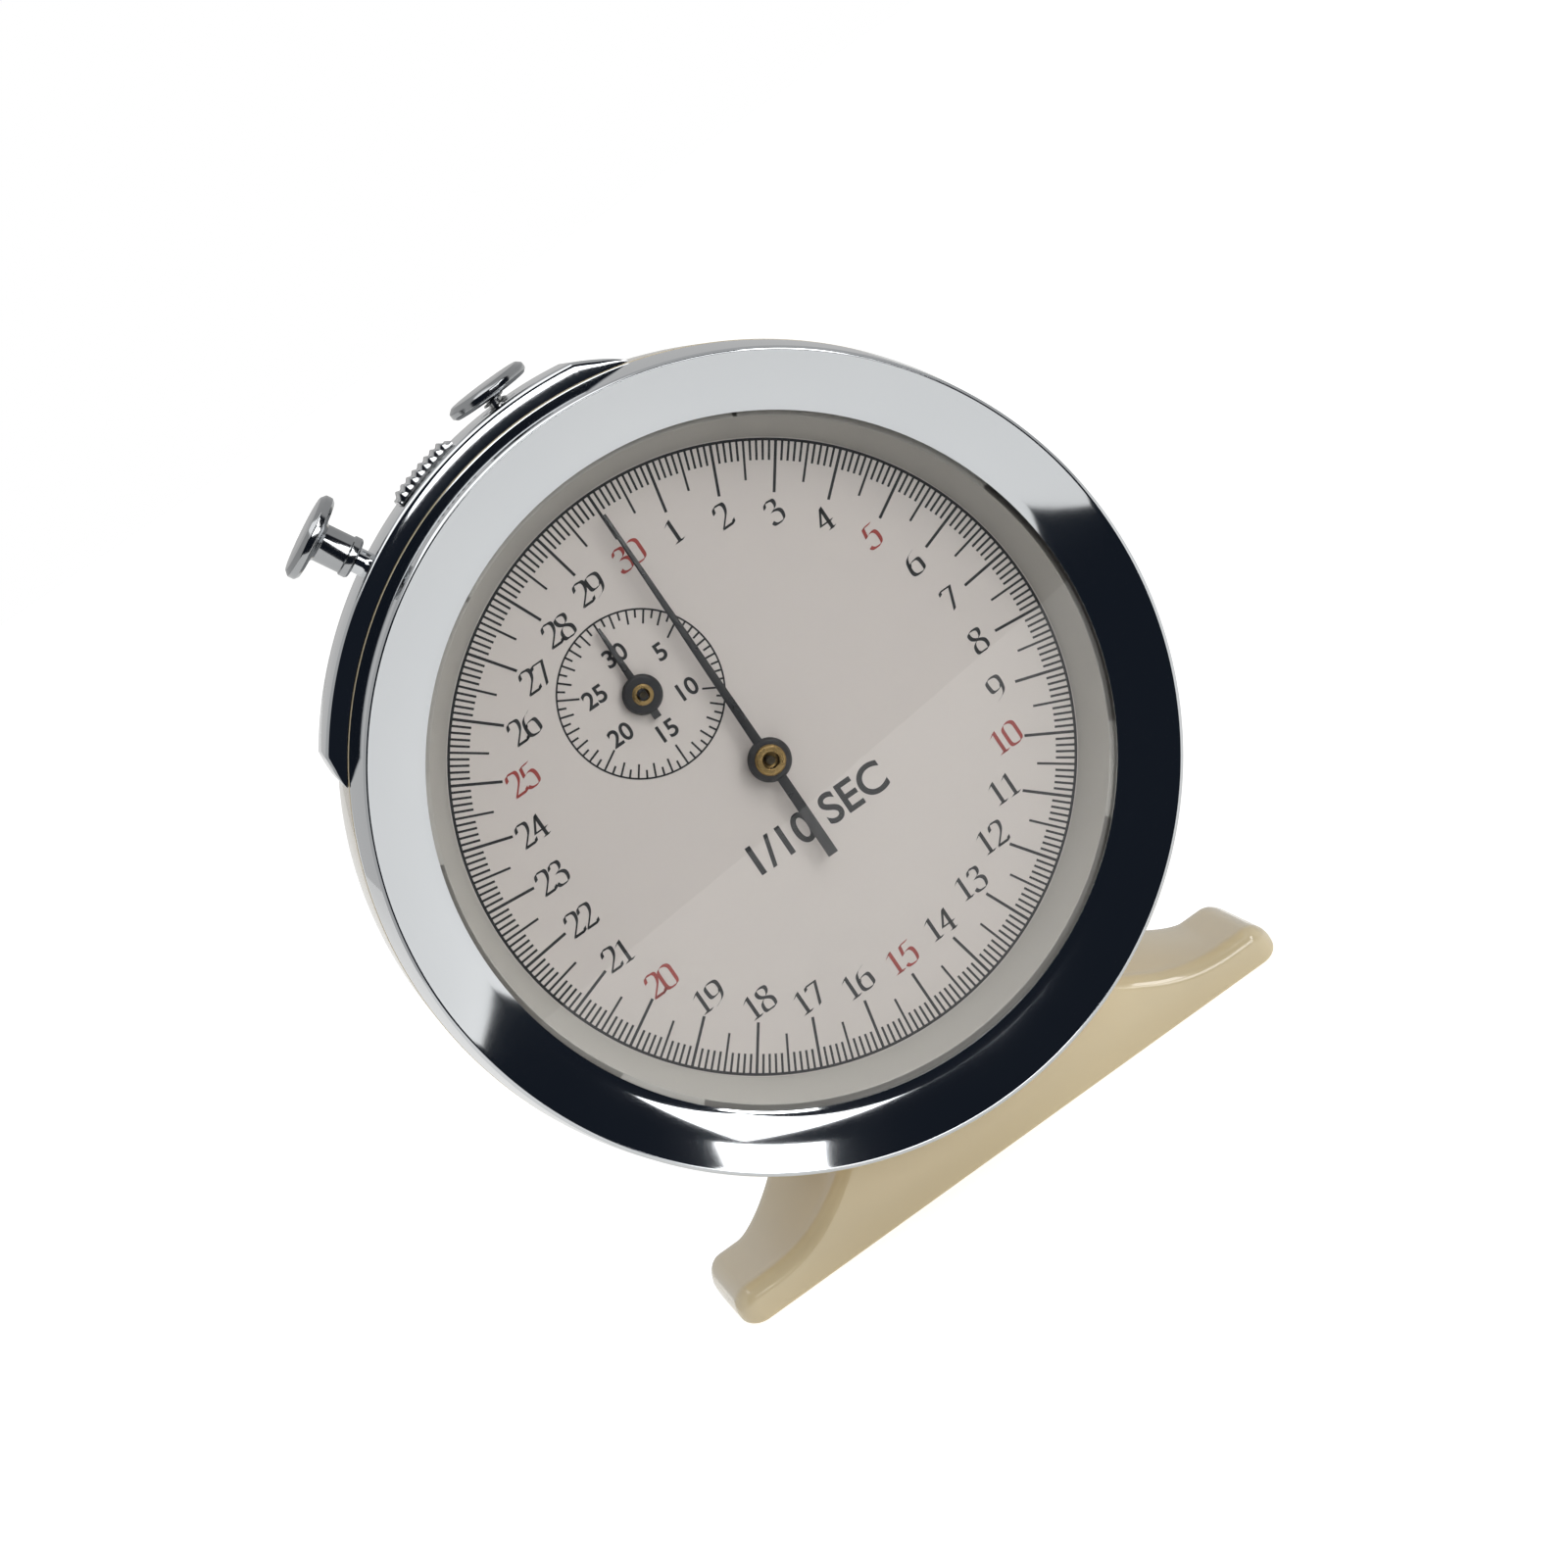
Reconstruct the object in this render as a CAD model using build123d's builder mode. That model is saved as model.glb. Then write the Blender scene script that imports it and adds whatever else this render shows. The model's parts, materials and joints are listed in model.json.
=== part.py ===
from build123d import *
from math import atan2, cos, degrees, hypot, radians, sin
import os

# Bench stopwatch on a moulded base. Millimetres, X right, Y away from the reader, Z up.
# The origin is the centre of the base's underside. "Depth" is measured back from the dial's face,
# and angles are measured from +X towards +Z, as the reader sees the dial.

# ---- overall sizes
case_radius = 60.6
case_lift = 9.4  # case above the table
dial_height = case_radius + case_lift
case_wall = 3.6
case_straight_depth = 17.0  # where the rounded back starts
case_back_depth = 31.0
case_shoulder_radius = case_radius - 12.6  # where the rounded back ends
base_length = 98.0
base_depth = 25.0
base_front_depth = 5.5  # base front behind the dial's face
base_wing_flat = 7.0
base_wing_back = 7.2  # wing heights at the base's back and front
base_wing_front = 5.9
base_horn_back = 0.2952 * base_length  # where the cradle's horns end, from the middle
base_horn_front = 0.2318 * base_length
base_edge_radius = 1.8
base_end_radius = 2.2
dial_y = -(base_front_depth + base_depth / 2)

# ---- clearances
fit = 0.03  # pieces that are fixed to each other
running = 0.05  # pivots, stems and slides
air = 0.15  # moving pieces that pass each other

# ---- bezel, glass and dial
bezel_front_radius = case_radius - 1.4
bezel_front_depth = -12.4
bezel_inner_radius = case_radius - 10.3
bezel_inner_depth = -9.0
bezel_lip = 1.0
bezel_back_depth = -0.8
bezel_spigot = 0.75  # wall of the case rim that the bezel is pressed on
bezel_spigot_depth = -5.0
glass_radius = case_radius - 6.6
glass_thickness = 1.4
seal_width = 2.6
rehaut_wall = 1.1
rehaut_flange = 0.9
dial_radius = case_radius - 13.2
dial_open_radius = dial_radius - 1.3  # inside of the rehaut where it meets the dial
dial_thickness = 0.7
dial_centre_hole = 1.6
dial_minute_hole = 1.1
rehaut_front_radius = dial_radius + 2.1

# ---- rear cover
rear_cover_radius = case_radius - 15.6
rear_opening_radius = rear_cover_radius - 5.0
rear_cover_thickness = 1.8
rear_cover_dish = 1.2
rear_flange = 3.0
rear_screw_radius = 1.2
rear_screw_circle = rear_cover_radius - 2.5
rear_screw_count = 4
rear_screw_head_radius = 2.1
rear_screw_head = 1.1
slot_depth = 0.6  # screwdriver slots

# ---- controls, on lines through the dial's centre
control_depth = 7.0
crown_angle = 119.5
crown_sleeve_start = case_radius + 4.8
crown_cap_start = crown_sleeve_start + 6.2
crown_cap_end = crown_cap_start + 2.3
crown_sleeve_radius = 3.1
reset_angle = 92.4
reset_travel = 1.3
reset_cap_start = case_radius + 4.6
reset_cap_end = reset_cap_start + 2.1
cap_radius = 6.5
cap_edge = 0.6
stem_radius = 1.2
stem_bite = 1.1  # stem inside its cap
stem_collar_radius = 2.6
stem_collar_thickness = 1.0
stem_collar_room = 0.4
tube_radius = 1.9
bush_radius = 3.0
spring_wire = 0.2
saddle_thickness = 3.05
saddle_depth = 15.0
saddle_start = 75.0
saddle_end = 149.0
saddle_ramp_start = 7.0
saddle_ramp_end = 4.0
saddle_screw_angles = (83.5, 141.0)
saddle_screw_depth = 8.6
saddle_screw_radius = 1.0
saddle_screw_bite = 1.8
saddle_edge = 0.8
slide_angle = 105.5
slide_span = 10.6
slide_height = 1.4
slide_travel = 4.0
slide_width = 7.0
slide_tongue = 1.6
slide_end_lean = 0.6  # degrees
slide_groove_pitch = 1.15  # degrees
slide_groove_radius = 0.38

# ---- movement layers, as depths
ring_back = 4.7
plate_thickness = 2.0
screw_head = 0.9
screw_shank_radius = 0.9
pillar_length = 12.5
front_plate_radius = case_radius - case_wall - 13.0
back_plate_radius = front_plate_radius - 2.0
plate_ledge = 2.0
shelf_thickness = 0.9
shelf_width = 2.5
front_plate_back = ring_back
front_plate_front = front_plate_back - plate_thickness
back_plate_front = front_plate_back + pillar_length
back_plate_back = back_plate_front + plate_thickness
wheel_thickness = 0.8
minute_train_depth = 5.2
minute_wheel_depth = 6.4
third_wheel_depth = 8.0
second_wheel_depth = 9.3
escape_depth = 9.6
barrel_front = 10.7
barrel_length = 5.0
sweep_wheel_depth = 11.6
heart_depth = 13.4
balance_depth = 13.4
hairspring_depth = 15.3
winding_depth = back_plate_back + 0.4

# ---- arbor places (x, z) from the dial's centre
sweep_at = (0.0, 0.0)
minute_at = (-9.70, 18.07)
intermediate_at = (-0.38, 11.24)
third_at = (-7.87, -9.38)
second_at = (-21.56, -12.43)
barrel_at = (-24.45, 5.20)
escape_line = -60.0  # escape wheel, pallets and balance stand on this line
escape_reach = 11.0
pallet_reach = 16.9
balance_reach = 28.5
crown_wheel_reach = 33.0
click_reach = 17.5  # from the barrel's centre
click_angle = 230.0
click_pivot_radius = 0.8
pillar_circle = 38.5
pillar_angles = (60.0, 145.0, 250.0, 350.0)
pillar_radius = 1.8

# ---- tooth counts
sweep_teeth = 80
sweep_pinion_teeth = 10
motion_pinion_teeth = 10
intermediate_teeth = 80
intermediate_pinion_teeth = 8
minute_teeth = 60
third_teeth = 60
third_pinion_teeth = 10
second_teeth = 60
second_pinion_teeth = 10
barrel_teeth = 60
escape_teeth = 15
escape_pinion_teeth = 8
ratchet_teeth = 52
crown_wheel_teeth = 42
winding_pinion_teeth = 8
contrate_teeth = 16
winding_pinion_module = 0.45

# ---- arbors
arbor_radius = 0.5
pivot_radius = 0.35
sweep_arbor_radius = 0.6
barrel_arbor_radius = 1.2

# ---- hands
sweep_hand_length = dial_open_radius - 3.5
sweep_hand_tail = 16.6
sweep_half_width = 0.8
sweep_half_tip = 0.35
sweep_hand_depth = -3.1
sweep_boss_radius = 3.3
sweep_collet_radius = 2.45
sweep_collet_step = 0.6
sweep_collet_height = 0.9
minute_hand_length = 11.4
minute_hand_tail = 4.0
minute_half_width = 0.75
minute_half_tail = 0.6
minute_half_tip = 0.3
minute_hand_depth = -1.5
minute_boss_radius = 3.0
minute_collet_radius = 1.7
minute_collet_step = 0.5
minute_collet_height = 0.4
hand_thickness = 0.3

# ---- addendum and dedendum of the train's stubby teeth, and their widths in pitches
tooth_rise = 0.7
tooth_fall = 1.0
tooth_root_share = 0.27
tooth_tip_share = 0.13

case_inner = case_radius - case_wall
centre_axis = Axis((0, dial_y, dial_height), (0, 1, 0))


def polar(reach, angle):
    return (reach * cos(radians(angle)), reach * sin(radians(angle)))


def facing(depth, at=(0.0, 0.0), turn=0.0):
    """A plane that faces the reader at a depth, with its origin on an arbor."""
    return Plane(
        origin=(at[0], dial_y + depth, dial_height + at[1]),
        x_dir=(cos(radians(turn)), 0, sin(radians(turn))),
        z_dir=(0, -1, 0),
    )


def outward(angle, depth, radius):
    """A plane square to a line through the dial's centre, at a radius."""
    x, z = polar(radius, angle)
    return Plane(
        origin=(x, dial_y + depth, dial_height + z),
        x_dir=(0, 1, 0),
        z_dir=(cos(radians(angle)), 0, sin(radians(angle))),
    )


def disc(at, radius, front, back, bore=0.0, mode=Mode.ADD):
    with BuildSketch(facing(back, at)) as section:
        Circle(radius)
        if bore:
            Circle(bore, mode=Mode.SUBTRACT)
    extrude(section.sketch, amount=back - front, mode=mode)


def rod(angle, depth, radius, inner, outer, bore=0.0, mode=Mode.ADD):
    with BuildSketch(outward(angle, depth, inner)) as section:
        Circle(radius)
        if bore:
            Circle(bore, mode=Mode.SUBTRACT)
    extrude(section.sketch, amount=outer - inner, mode=mode)


def turned(*outline):
    """Revolves an outline of (radius, depth) points round the dial's axis."""
    plane = Plane(origin=(0, dial_y, dial_height), x_dir=(1, 0, 0), z_dir=(0, 0, 1))
    with BuildSketch(plane) as section:
        with BuildLine():
            Polyline(*outline, close=True)
        make_face()
    revolve(section.sketch, axis=centre_axis)


def outline_face(points):
    with BuildLine() as path:
        Polyline(*points, close=True)
    make_face(path.edges())


def teeth_face(teeth, module, phase):
    """Adds a toothed face to the sketch, with a tooth centred at the phase angle."""
    pitch = 360.0 / teeth
    root = module * (teeth / 2 - tooth_fall)
    tip = module * (teeth / 2 + tooth_rise)
    points = []
    for index in range(teeth):
        centre = phase + index * pitch
        points.append(polar(root, centre - tooth_root_share * pitch))
        points.append(polar(tip, centre - tooth_tip_share * pitch))
        points.append(polar(tip, centre + tooth_tip_share * pitch))
        points.append(polar(root, centre + tooth_root_share * pitch))
    outline_face(points)


def wheel(at, teeth, module, phase, front, bore, crossings=4, thickness=wheel_thickness):
    """A toothed wheel with crossed-out arms."""
    root = module * (teeth / 2 - tooth_fall)
    with BuildSketch(facing(front + thickness, at)) as section:
        teeth_face(teeth, module, phase)
        if bore:
            Circle(bore, mode=Mode.SUBTRACT)
        if crossings:
            with PolarLocations(root * 0.56, crossings, start_angle=45):
                Circle(root * 0.25, mode=Mode.SUBTRACT)
    extrude(section.sketch, amount=thickness)


def leaves(at, teeth, module, phase, front, back):
    """Pinion leaves on an arbor."""
    with BuildSketch(facing(back, at)) as section:
        teeth_face(teeth, module, phase)
    extrude(section.sketch, amount=back - front)


def arbor(at, radius, front=front_plate_back, back=back_plate_front, pivot=pivot_radius):
    """A shaft between the plates with a pivot at each end."""
    disc(at, radius, front + air, back - air)
    disc(at, pivot, front - plate_thickness * 0.8, back + plate_thickness * 0.8)


def gap(first, second):
    return hypot(second[0] - first[0], second[1] - first[1])


def bearing(first, second):
    return degrees(atan2(second[1] - first[1], second[0] - first[0]))


def meshed(first, first_teeth, first_phase, second, second_teeth):
    """Phase that puts the second wheel in mesh with the first."""
    line = bearing(first, second)
    off = first_phase - line
    return line + 180 + 180.0 / second_teeth - off * first_teeth / second_teeth


def module_for(first, second, first_teeth, second_teeth):
    return 2 * gap(first, second) / (first_teeth + second_teeth)


def spiral_face(inner, outer, turns, band):
    """A flat spiral band as one face."""
    steps = int(turns * 24)
    rim = []
    core = []
    for index in range(steps + 1):
        share = index / steps
        reach = inner + (outer - inner) * share
        rim.append(polar(reach + band / 2, 360 * turns * share))
        core.append(polar(reach - band / 2, 360 * turns * share))
    outline_face(rim + core[::-1])


def heart_face(small, large):
    """A heart cam with its notch pointing up."""
    points = []
    for index in range(36):
        turn = index * 10.0
        share = abs(turn - 180.0) / 180.0
        points.append(polar(large - (large - small) * share, turn + 90))
    outline_face(points)


def coil(angle, depth, radius, inner, outer, turns):
    """A round-wire spring on a control's line."""
    height = outer - inner - 2 * spring_wire
    place = outward(angle, depth, inner + spring_wire)
    with BuildLine():
        path = Helix(height / turns, height, radius, center=place.origin, direction=place.z_dir)
    with BuildSketch(Plane(origin=path @ 0, z_dir=path % 0)) as section:
        Circle(spring_wire)
    sweep(section.sketch, path=path)


os.makedirs("parts", exist_ok=True)


def save(builder, name):
    builder.part.label = name
    export_step(builder.part, f"parts/{name}.step")


# ---- worked-out places
escape_at = polar(escape_reach, escape_line)
pallet_at = polar(pallet_reach, escape_line)
balance_at = polar(balance_reach, escape_line)
crown_wheel_at = polar(crown_wheel_reach, crown_angle)
click_from_barrel = polar(click_reach, click_angle)
click_at = (barrel_at[0] + click_from_barrel[0], barrel_at[1] + click_from_barrel[1])
saddle_inner = case_radius + fit
saddle_outer = saddle_inner + saddle_thickness
glass_front = bezel_inner_depth + bezel_lip
glass_back = glass_front + glass_thickness
hammer_drop = reset_travel

# ---- worked-out modules and phases of the train
escape_module = module_for(sweep_at, escape_at, sweep_teeth, escape_pinion_teeth)
motion_module = module_for(sweep_at, intermediate_at, motion_pinion_teeth, intermediate_teeth)
minute_module = module_for(intermediate_at, minute_at, intermediate_pinion_teeth, minute_teeth)
third_module = module_for(sweep_at, third_at, sweep_pinion_teeth, third_teeth)
second_module = module_for(third_at, second_at, third_pinion_teeth, second_teeth)
barrel_module = module_for(second_at, barrel_at, second_pinion_teeth, barrel_teeth)
ratchet_module = module_for(barrel_at, crown_wheel_at, ratchet_teeth, crown_wheel_teeth)
escape_phase = meshed(sweep_at, sweep_teeth, 0, escape_at, escape_pinion_teeth)
intermediate_phase = meshed(sweep_at, motion_pinion_teeth, 0, intermediate_at, intermediate_teeth)
minute_phase = meshed(intermediate_at, intermediate_pinion_teeth, 0, minute_at, minute_teeth)
third_phase = meshed(sweep_at, sweep_pinion_teeth, 0, third_at, third_teeth)
second_phase = meshed(third_at, third_pinion_teeth, 0, second_at, second_teeth)
barrel_phase = meshed(second_at, second_pinion_teeth, 0, barrel_at, barrel_teeth)
crown_wheel_phase = meshed(barrel_at, ratchet_teeth, 0, crown_wheel_at, crown_wheel_teeth)


# ================================================== case, bezel, glass and dial
def stem_holes(radius, inner, outer):
    for angle in (crown_angle, reset_angle):
        rod(angle, control_depth, radius, inner, outer, mode=Mode.SUBTRACT)


def slide_slot(inner, outer):
    """The slot that the thumb slide's tongue moves along."""
    half = degrees(slide_tongue / 2 / inner)
    with BuildSketch(facing(control_depth + slide_tongue / 2 + running)) as section:
        with BuildLine():
            low = slide_angle - half - 0.3
            sweep_angle = slide_travel + 2 * half + 0.6
            arc = CenterArc((0, 0), outer, low, sweep_angle)
            back = CenterArc((0, 0), inner, low, sweep_angle)
            Line(arc @ 0, back @ 0)
            Line(arc @ 1, back @ 1)
        make_face()
    extrude(section.sketch, amount=slide_tongue + 2 * running, mode=Mode.SUBTRACT)


base_screw_x = 12.0
base_screw_depth = 12.0
base_screw_radius = 1.5
base_screw_bite = 2.6


def base_screw_top():
    case_bottom = dial_height - (case_radius**2 - base_screw_x**2) ** 0.5
    return case_bottom + base_screw_bite


with BuildPart() as case_shell:
    plane = Plane(origin=(0, dial_y, dial_height), x_dir=(1, 0, 0), z_dir=(0, 0, 1))
    inner_back = case_back_depth - rear_flange
    with BuildSketch(plane):
        with BuildLine():
            Polyline(
                (case_inner, ring_back),
                (case_inner, bezel_spigot_depth),
                (case_inner + bezel_spigot, bezel_spigot_depth),
                (case_inner + bezel_spigot, bezel_back_depth),
                (case_radius, bezel_back_depth),
                (case_radius, case_straight_depth),
            )
            TangentArc(
                (case_radius, case_straight_depth),
                (case_shoulder_radius, case_back_depth),
                tangent=(0, 1),
            )
            Polyline(
                (case_shoulder_radius, case_back_depth),
                (rear_opening_radius, case_back_depth),
                (rear_opening_radius, inner_back),
                (case_shoulder_radius - case_wall * 0.6, inner_back),
                (case_inner, case_straight_depth - 1.0),
                (case_inner, ring_back + shelf_thickness),
                (case_inner - shelf_width, ring_back + shelf_thickness),
                (case_inner - shelf_width, ring_back),
                (case_inner, ring_back),
            )
        make_face()
    revolve(axis=centre_axis)
    rod(crown_angle, control_depth, tube_radius + fit, case_inner - 1, case_radius + 1, mode=Mode.SUBTRACT)
    rod(reset_angle, control_depth, bush_radius + fit, case_inner - 1, case_radius + 1, mode=Mode.SUBTRACT)
    stem_holes(stem_collar_radius + stem_collar_room, case_inner - 5, case_inner)
    slide_slot(case_inner - 1, case_radius + 1)
    for angle in saddle_screw_angles:
        hole = saddle_screw_radius + fit
        rod(angle, saddle_screw_depth, hole, case_inner - 1, case_radius + 1, mode=Mode.SUBTRACT)
    with BuildSketch(facing(case_back_depth)):
        with PolarLocations(rear_screw_circle, rear_screw_count, start_angle=45):
            Circle(rear_screw_radius + fit)
    extrude(amount=rear_flange, mode=Mode.SUBTRACT)
    with BuildSketch(Plane.XY):
        with Locations((-base_screw_x, dial_y + base_screw_depth), (base_screw_x, dial_y + base_screw_depth)):
            Circle(base_screw_radius + fit)
    extrude(amount=base_screw_top() + fit, mode=Mode.SUBTRACT)
save(case_shell, "case_shell")

with BuildPart() as rear_cover:
    dish = rear_cover_dish
    dish_radius = rear_opening_radius - 4.0
    turned(
        (0, case_back_depth + dish),
        (dish_radius, case_back_depth + dish),
        (dish_radius + 3.0, case_back_depth),
        (rear_cover_radius, case_back_depth),
        (rear_cover_radius, case_back_depth + rear_cover_thickness - 0.5),
        (rear_cover_radius - 0.5, case_back_depth + rear_cover_thickness),
        (dish_radius + 2.0, case_back_depth + rear_cover_thickness),
        (dish_radius + 0.5, case_back_depth + rear_cover_thickness + dish),
        (0, case_back_depth + rear_cover_thickness + dish),
    )
    with BuildSketch(facing(case_back_depth + rear_cover_thickness + 1)):
        with PolarLocations(rear_screw_circle, rear_screw_count, start_angle=45):
            Circle(rear_screw_radius + fit)
    extrude(amount=rear_cover_thickness + 2, mode=Mode.SUBTRACT)
save(rear_cover, "rear_cover")

with BuildPart() as rear_cover_screws:
    head_front = case_back_depth + rear_cover_thickness
    with BuildSketch(facing(head_front + rear_screw_head)):
        with PolarLocations(rear_screw_circle, rear_screw_count, start_angle=45):
            Circle(rear_screw_head_radius)
    extrude(amount=rear_screw_head)
    with BuildSketch(facing(head_front)):
        with PolarLocations(rear_screw_circle, rear_screw_count, start_angle=45):
            Circle(rear_screw_radius)
    extrude(amount=rear_cover_thickness + rear_flange - 0.4)
    with BuildSketch(facing(head_front + rear_screw_head)):
        with PolarLocations(rear_screw_circle, rear_screw_count, start_angle=45):
            Rectangle(2 * rear_screw_head_radius + 0.2, slot_depth)
    extrude(amount=slot_depth, mode=Mode.SUBTRACT)
save(rear_cover_screws, "rear_cover_screws")

with BuildPart() as bezel:
    skirt = case_inner + bezel_spigot + fit
    slope = (bezel_front_depth - bezel_inner_depth) / (bezel_front_radius - bezel_inner_radius)
    under = bezel_inner_depth + bezel_lip + slope * (skirt - bezel_inner_radius)
    turned(
        (bezel_inner_radius, bezel_inner_depth),
        (bezel_front_radius - 0.4, bezel_front_depth),
        (bezel_front_radius + 0.1, bezel_front_depth + 0.4),
        (case_radius, bezel_back_depth - 1.2),
        (case_radius, bezel_back_depth),
        (skirt, bezel_back_depth),
        (skirt, under),
        (bezel_inner_radius, bezel_inner_depth + bezel_lip),
    )
save(bezel, "bezel")

with BuildPart() as glass:
    disc(sweep_at, glass_radius, glass_front, glass_back)
save(glass, "glass")

with BuildPart() as glass_seal:
    disc(sweep_at, glass_radius + seal_width, glass_front + 0.2, glass_back, bore=glass_radius + fit)
save(glass_seal, "glass_seal")

with BuildPart() as rehaut_ring:
    turned(
        (dial_open_radius, 0),
        (rehaut_front_radius, glass_back),
        (glass_radius + seal_width, glass_back),
        (glass_radius + seal_width, glass_back + rehaut_flange),
        (rehaut_front_radius + rehaut_wall, glass_back + rehaut_flange),
        (dial_open_radius + rehaut_wall, 0),
    )
save(rehaut_ring, "rehaut_ring")

with BuildPart() as dial:
    disc(sweep_at, dial_radius, 0, dial_thickness, bore=dial_centre_hole)
    disc(minute_at, dial_minute_hole, -1, dial_thickness + 1, mode=Mode.SUBTRACT)
save(dial, "dial")

# ================================================== saddle and controls
with BuildPart() as saddle_cover:
    with BuildSketch(facing(saddle_depth)):
        with BuildLine():
            high = CenterArc(
                (0, 0),
                saddle_outer,
                saddle_start + saddle_ramp_start,
                saddle_end - saddle_start - saddle_ramp_start - saddle_ramp_end,
            )
            low = CenterArc((0, 0), saddle_inner, saddle_start, saddle_end - saddle_start)
            Line(high @ 0, low @ 0)
            Line(high @ 1, low @ 1)
        make_face()
    extrude(amount=saddle_depth)
    rod(crown_angle, control_depth, tube_radius + fit, case_radius - 1, saddle_outer + 1, mode=Mode.SUBTRACT)
    rod(reset_angle, control_depth, bush_radius + fit, case_radius - 1, saddle_outer + 1, mode=Mode.SUBTRACT)
    slide_slot(case_radius - 1, saddle_outer + 1)
    hole = saddle_screw_radius + fit
    hole_end = saddle_inner + saddle_screw_bite
    for angle in saddle_screw_angles:
        rod(angle, saddle_screw_depth, hole, case_radius - 1, hole_end, mode=Mode.SUBTRACT)
    edges_out = [
        edge
        for edge in saddle_cover.edges().filter_by(GeomType.CIRCLE)
        if abs(edge.radius - saddle_outer) < 0.01 and edge.length > 20
    ]
    fillet(edges_out, saddle_edge)
save(saddle_cover, "saddle_cover")

with BuildPart() as saddle_screws:
    for angle in saddle_screw_angles:
        rod(angle, saddle_screw_depth, 2 * saddle_screw_radius, case_inner - 1.4, case_inner - 0.15)
        rod(angle, saddle_screw_depth, saddle_screw_radius, case_inner - 0.5, hole_end - 0.1)
save(saddle_screws, "saddle_screws")

with BuildPart() as stop_slide:
    slide_inner = saddle_outer + 0.1
    with BuildSketch(facing(control_depth + slide_width / 2)):
        with BuildLine():
            slide_start = slide_angle - slide_span / 2
            top_span = slide_span - 2 * slide_end_lean
            high = CenterArc((0, 0), slide_inner + slide_height, slide_start + slide_end_lean, top_span)
            low = CenterArc((0, 0), slide_inner, slide_start, slide_span)
            Line(high @ 0, low @ 0)
            Line(high @ 1, low @ 1)
        make_face()
        for index in range(-3, 4):
            with Locations(polar(slide_inner + slide_height, slide_angle + index * slide_groove_pitch)):
                Circle(slide_groove_radius, mode=Mode.SUBTRACT)
    extrude(amount=slide_width)
    with BuildSketch(outward(slide_angle, control_depth, case_inner - 2)):
        Rectangle(slide_tongue, slide_tongue)
    extrude(amount=slide_inner + 0.4 - case_inner + 2)
save(stop_slide, "stop_slide")


def knob_edges(builder, radius):
    return [
        edge
        for edge in builder.edges().filter_by(GeomType.CIRCLE)
        if abs(edge.radius - radius) < 0.01
    ]


with BuildPart() as crown_knob:
    rod(crown_angle, control_depth, cap_radius, crown_cap_start, crown_cap_end)
    fillet(knob_edges(crown_knob, cap_radius), cap_edge)
    rod(crown_angle, control_depth, crown_sleeve_radius, crown_sleeve_start, crown_cap_start)
    sleeve_bore = tube_radius + 0.3
    rod(crown_angle, control_depth, sleeve_bore, crown_sleeve_start, crown_cap_start, mode=Mode.SUBTRACT)
    stem_hole_end = crown_cap_start + stem_bite + 0.1
    rod(crown_angle, control_depth, stem_radius + fit, crown_cap_start - 1, stem_hole_end, mode=Mode.SUBTRACT)
save(crown_knob, "crown_knob")

winding_pinion_length = 1.4
winding_pinion_radius = winding_pinion_module * winding_pinion_teeth / 2
contrate_radius = winding_pinion_module * contrate_teeth / 2
pinion_reach = crown_wheel_reach + contrate_radius
stem_square = 1.3
stem_end = pinion_reach - winding_pinion_length / 2 - 0.2
stem_round_start = pinion_reach + 5.4
collar_outer = case_inner - 0.1

with BuildPart() as crown_stem:
    rod(crown_angle, control_depth, stem_radius, stem_round_start, crown_cap_start + stem_bite)
    with BuildSketch(outward(crown_angle, control_depth, stem_end)):
        Rectangle(stem_square, stem_square)
    extrude(amount=stem_round_start - stem_end)
    rod(crown_angle, control_depth, stem_collar_radius, collar_outer - stem_collar_thickness, collar_outer)
save(crown_stem, "crown_stem")

crown_tube_end = crown_sleeve_start + 2.6

with BuildPart() as crown_tube:
    rod(crown_angle, control_depth, tube_radius, case_inner, crown_tube_end, bore=stem_radius + running)
save(crown_tube, "crown_tube")

with BuildPart() as crown_spring:
    coil(crown_angle, control_depth, stem_radius + 0.35, crown_tube_end, crown_cap_start - 0.02, 4)
save(crown_spring, "crown_spring")

with BuildPart() as reset_button:
    rod(reset_angle, control_depth, cap_radius, reset_cap_start, reset_cap_end)
    fillet(knob_edges(reset_button, cap_radius), cap_edge)
    stem_hole_end = reset_cap_start + stem_bite
    rod(reset_angle, control_depth, stem_radius + fit, reset_cap_start - 1, stem_hole_end, mode=Mode.SUBTRACT)
save(reset_button, "reset_button")

hammer_post_reach = pillar_circle + 2.5
hammer_post_radius = 0.9
reset_stem_end = hammer_post_reach + hammer_post_radius + 0.05

with BuildPart() as reset_stem:
    rod(reset_angle, control_depth, stem_radius, reset_stem_end, reset_cap_start + stem_bite - 0.1)
    rod(reset_angle, control_depth, stem_collar_radius, collar_outer - stem_collar_thickness, collar_outer)
save(reset_stem, "reset_stem")

bush_floor = case_radius - 1.1

with BuildPart() as reset_bush:
    rod(reset_angle, control_depth, bush_radius, case_inner, saddle_outer, bore=stem_radius + running)
    rod(reset_angle, control_depth, 2.1, bush_floor, saddle_outer + 1, mode=Mode.SUBTRACT)
save(reset_bush, "reset_bush")

with BuildPart() as reset_spring:
    coil(reset_angle, control_depth, stem_radius + 0.45, bush_floor, reset_cap_start - 0.02, 5)
save(reset_spring, "reset_spring")

# ================================================== base
base_screw_head_radius = 3.0
base_screw_head = 2.0
base_screw_sink = 4.0

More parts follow.
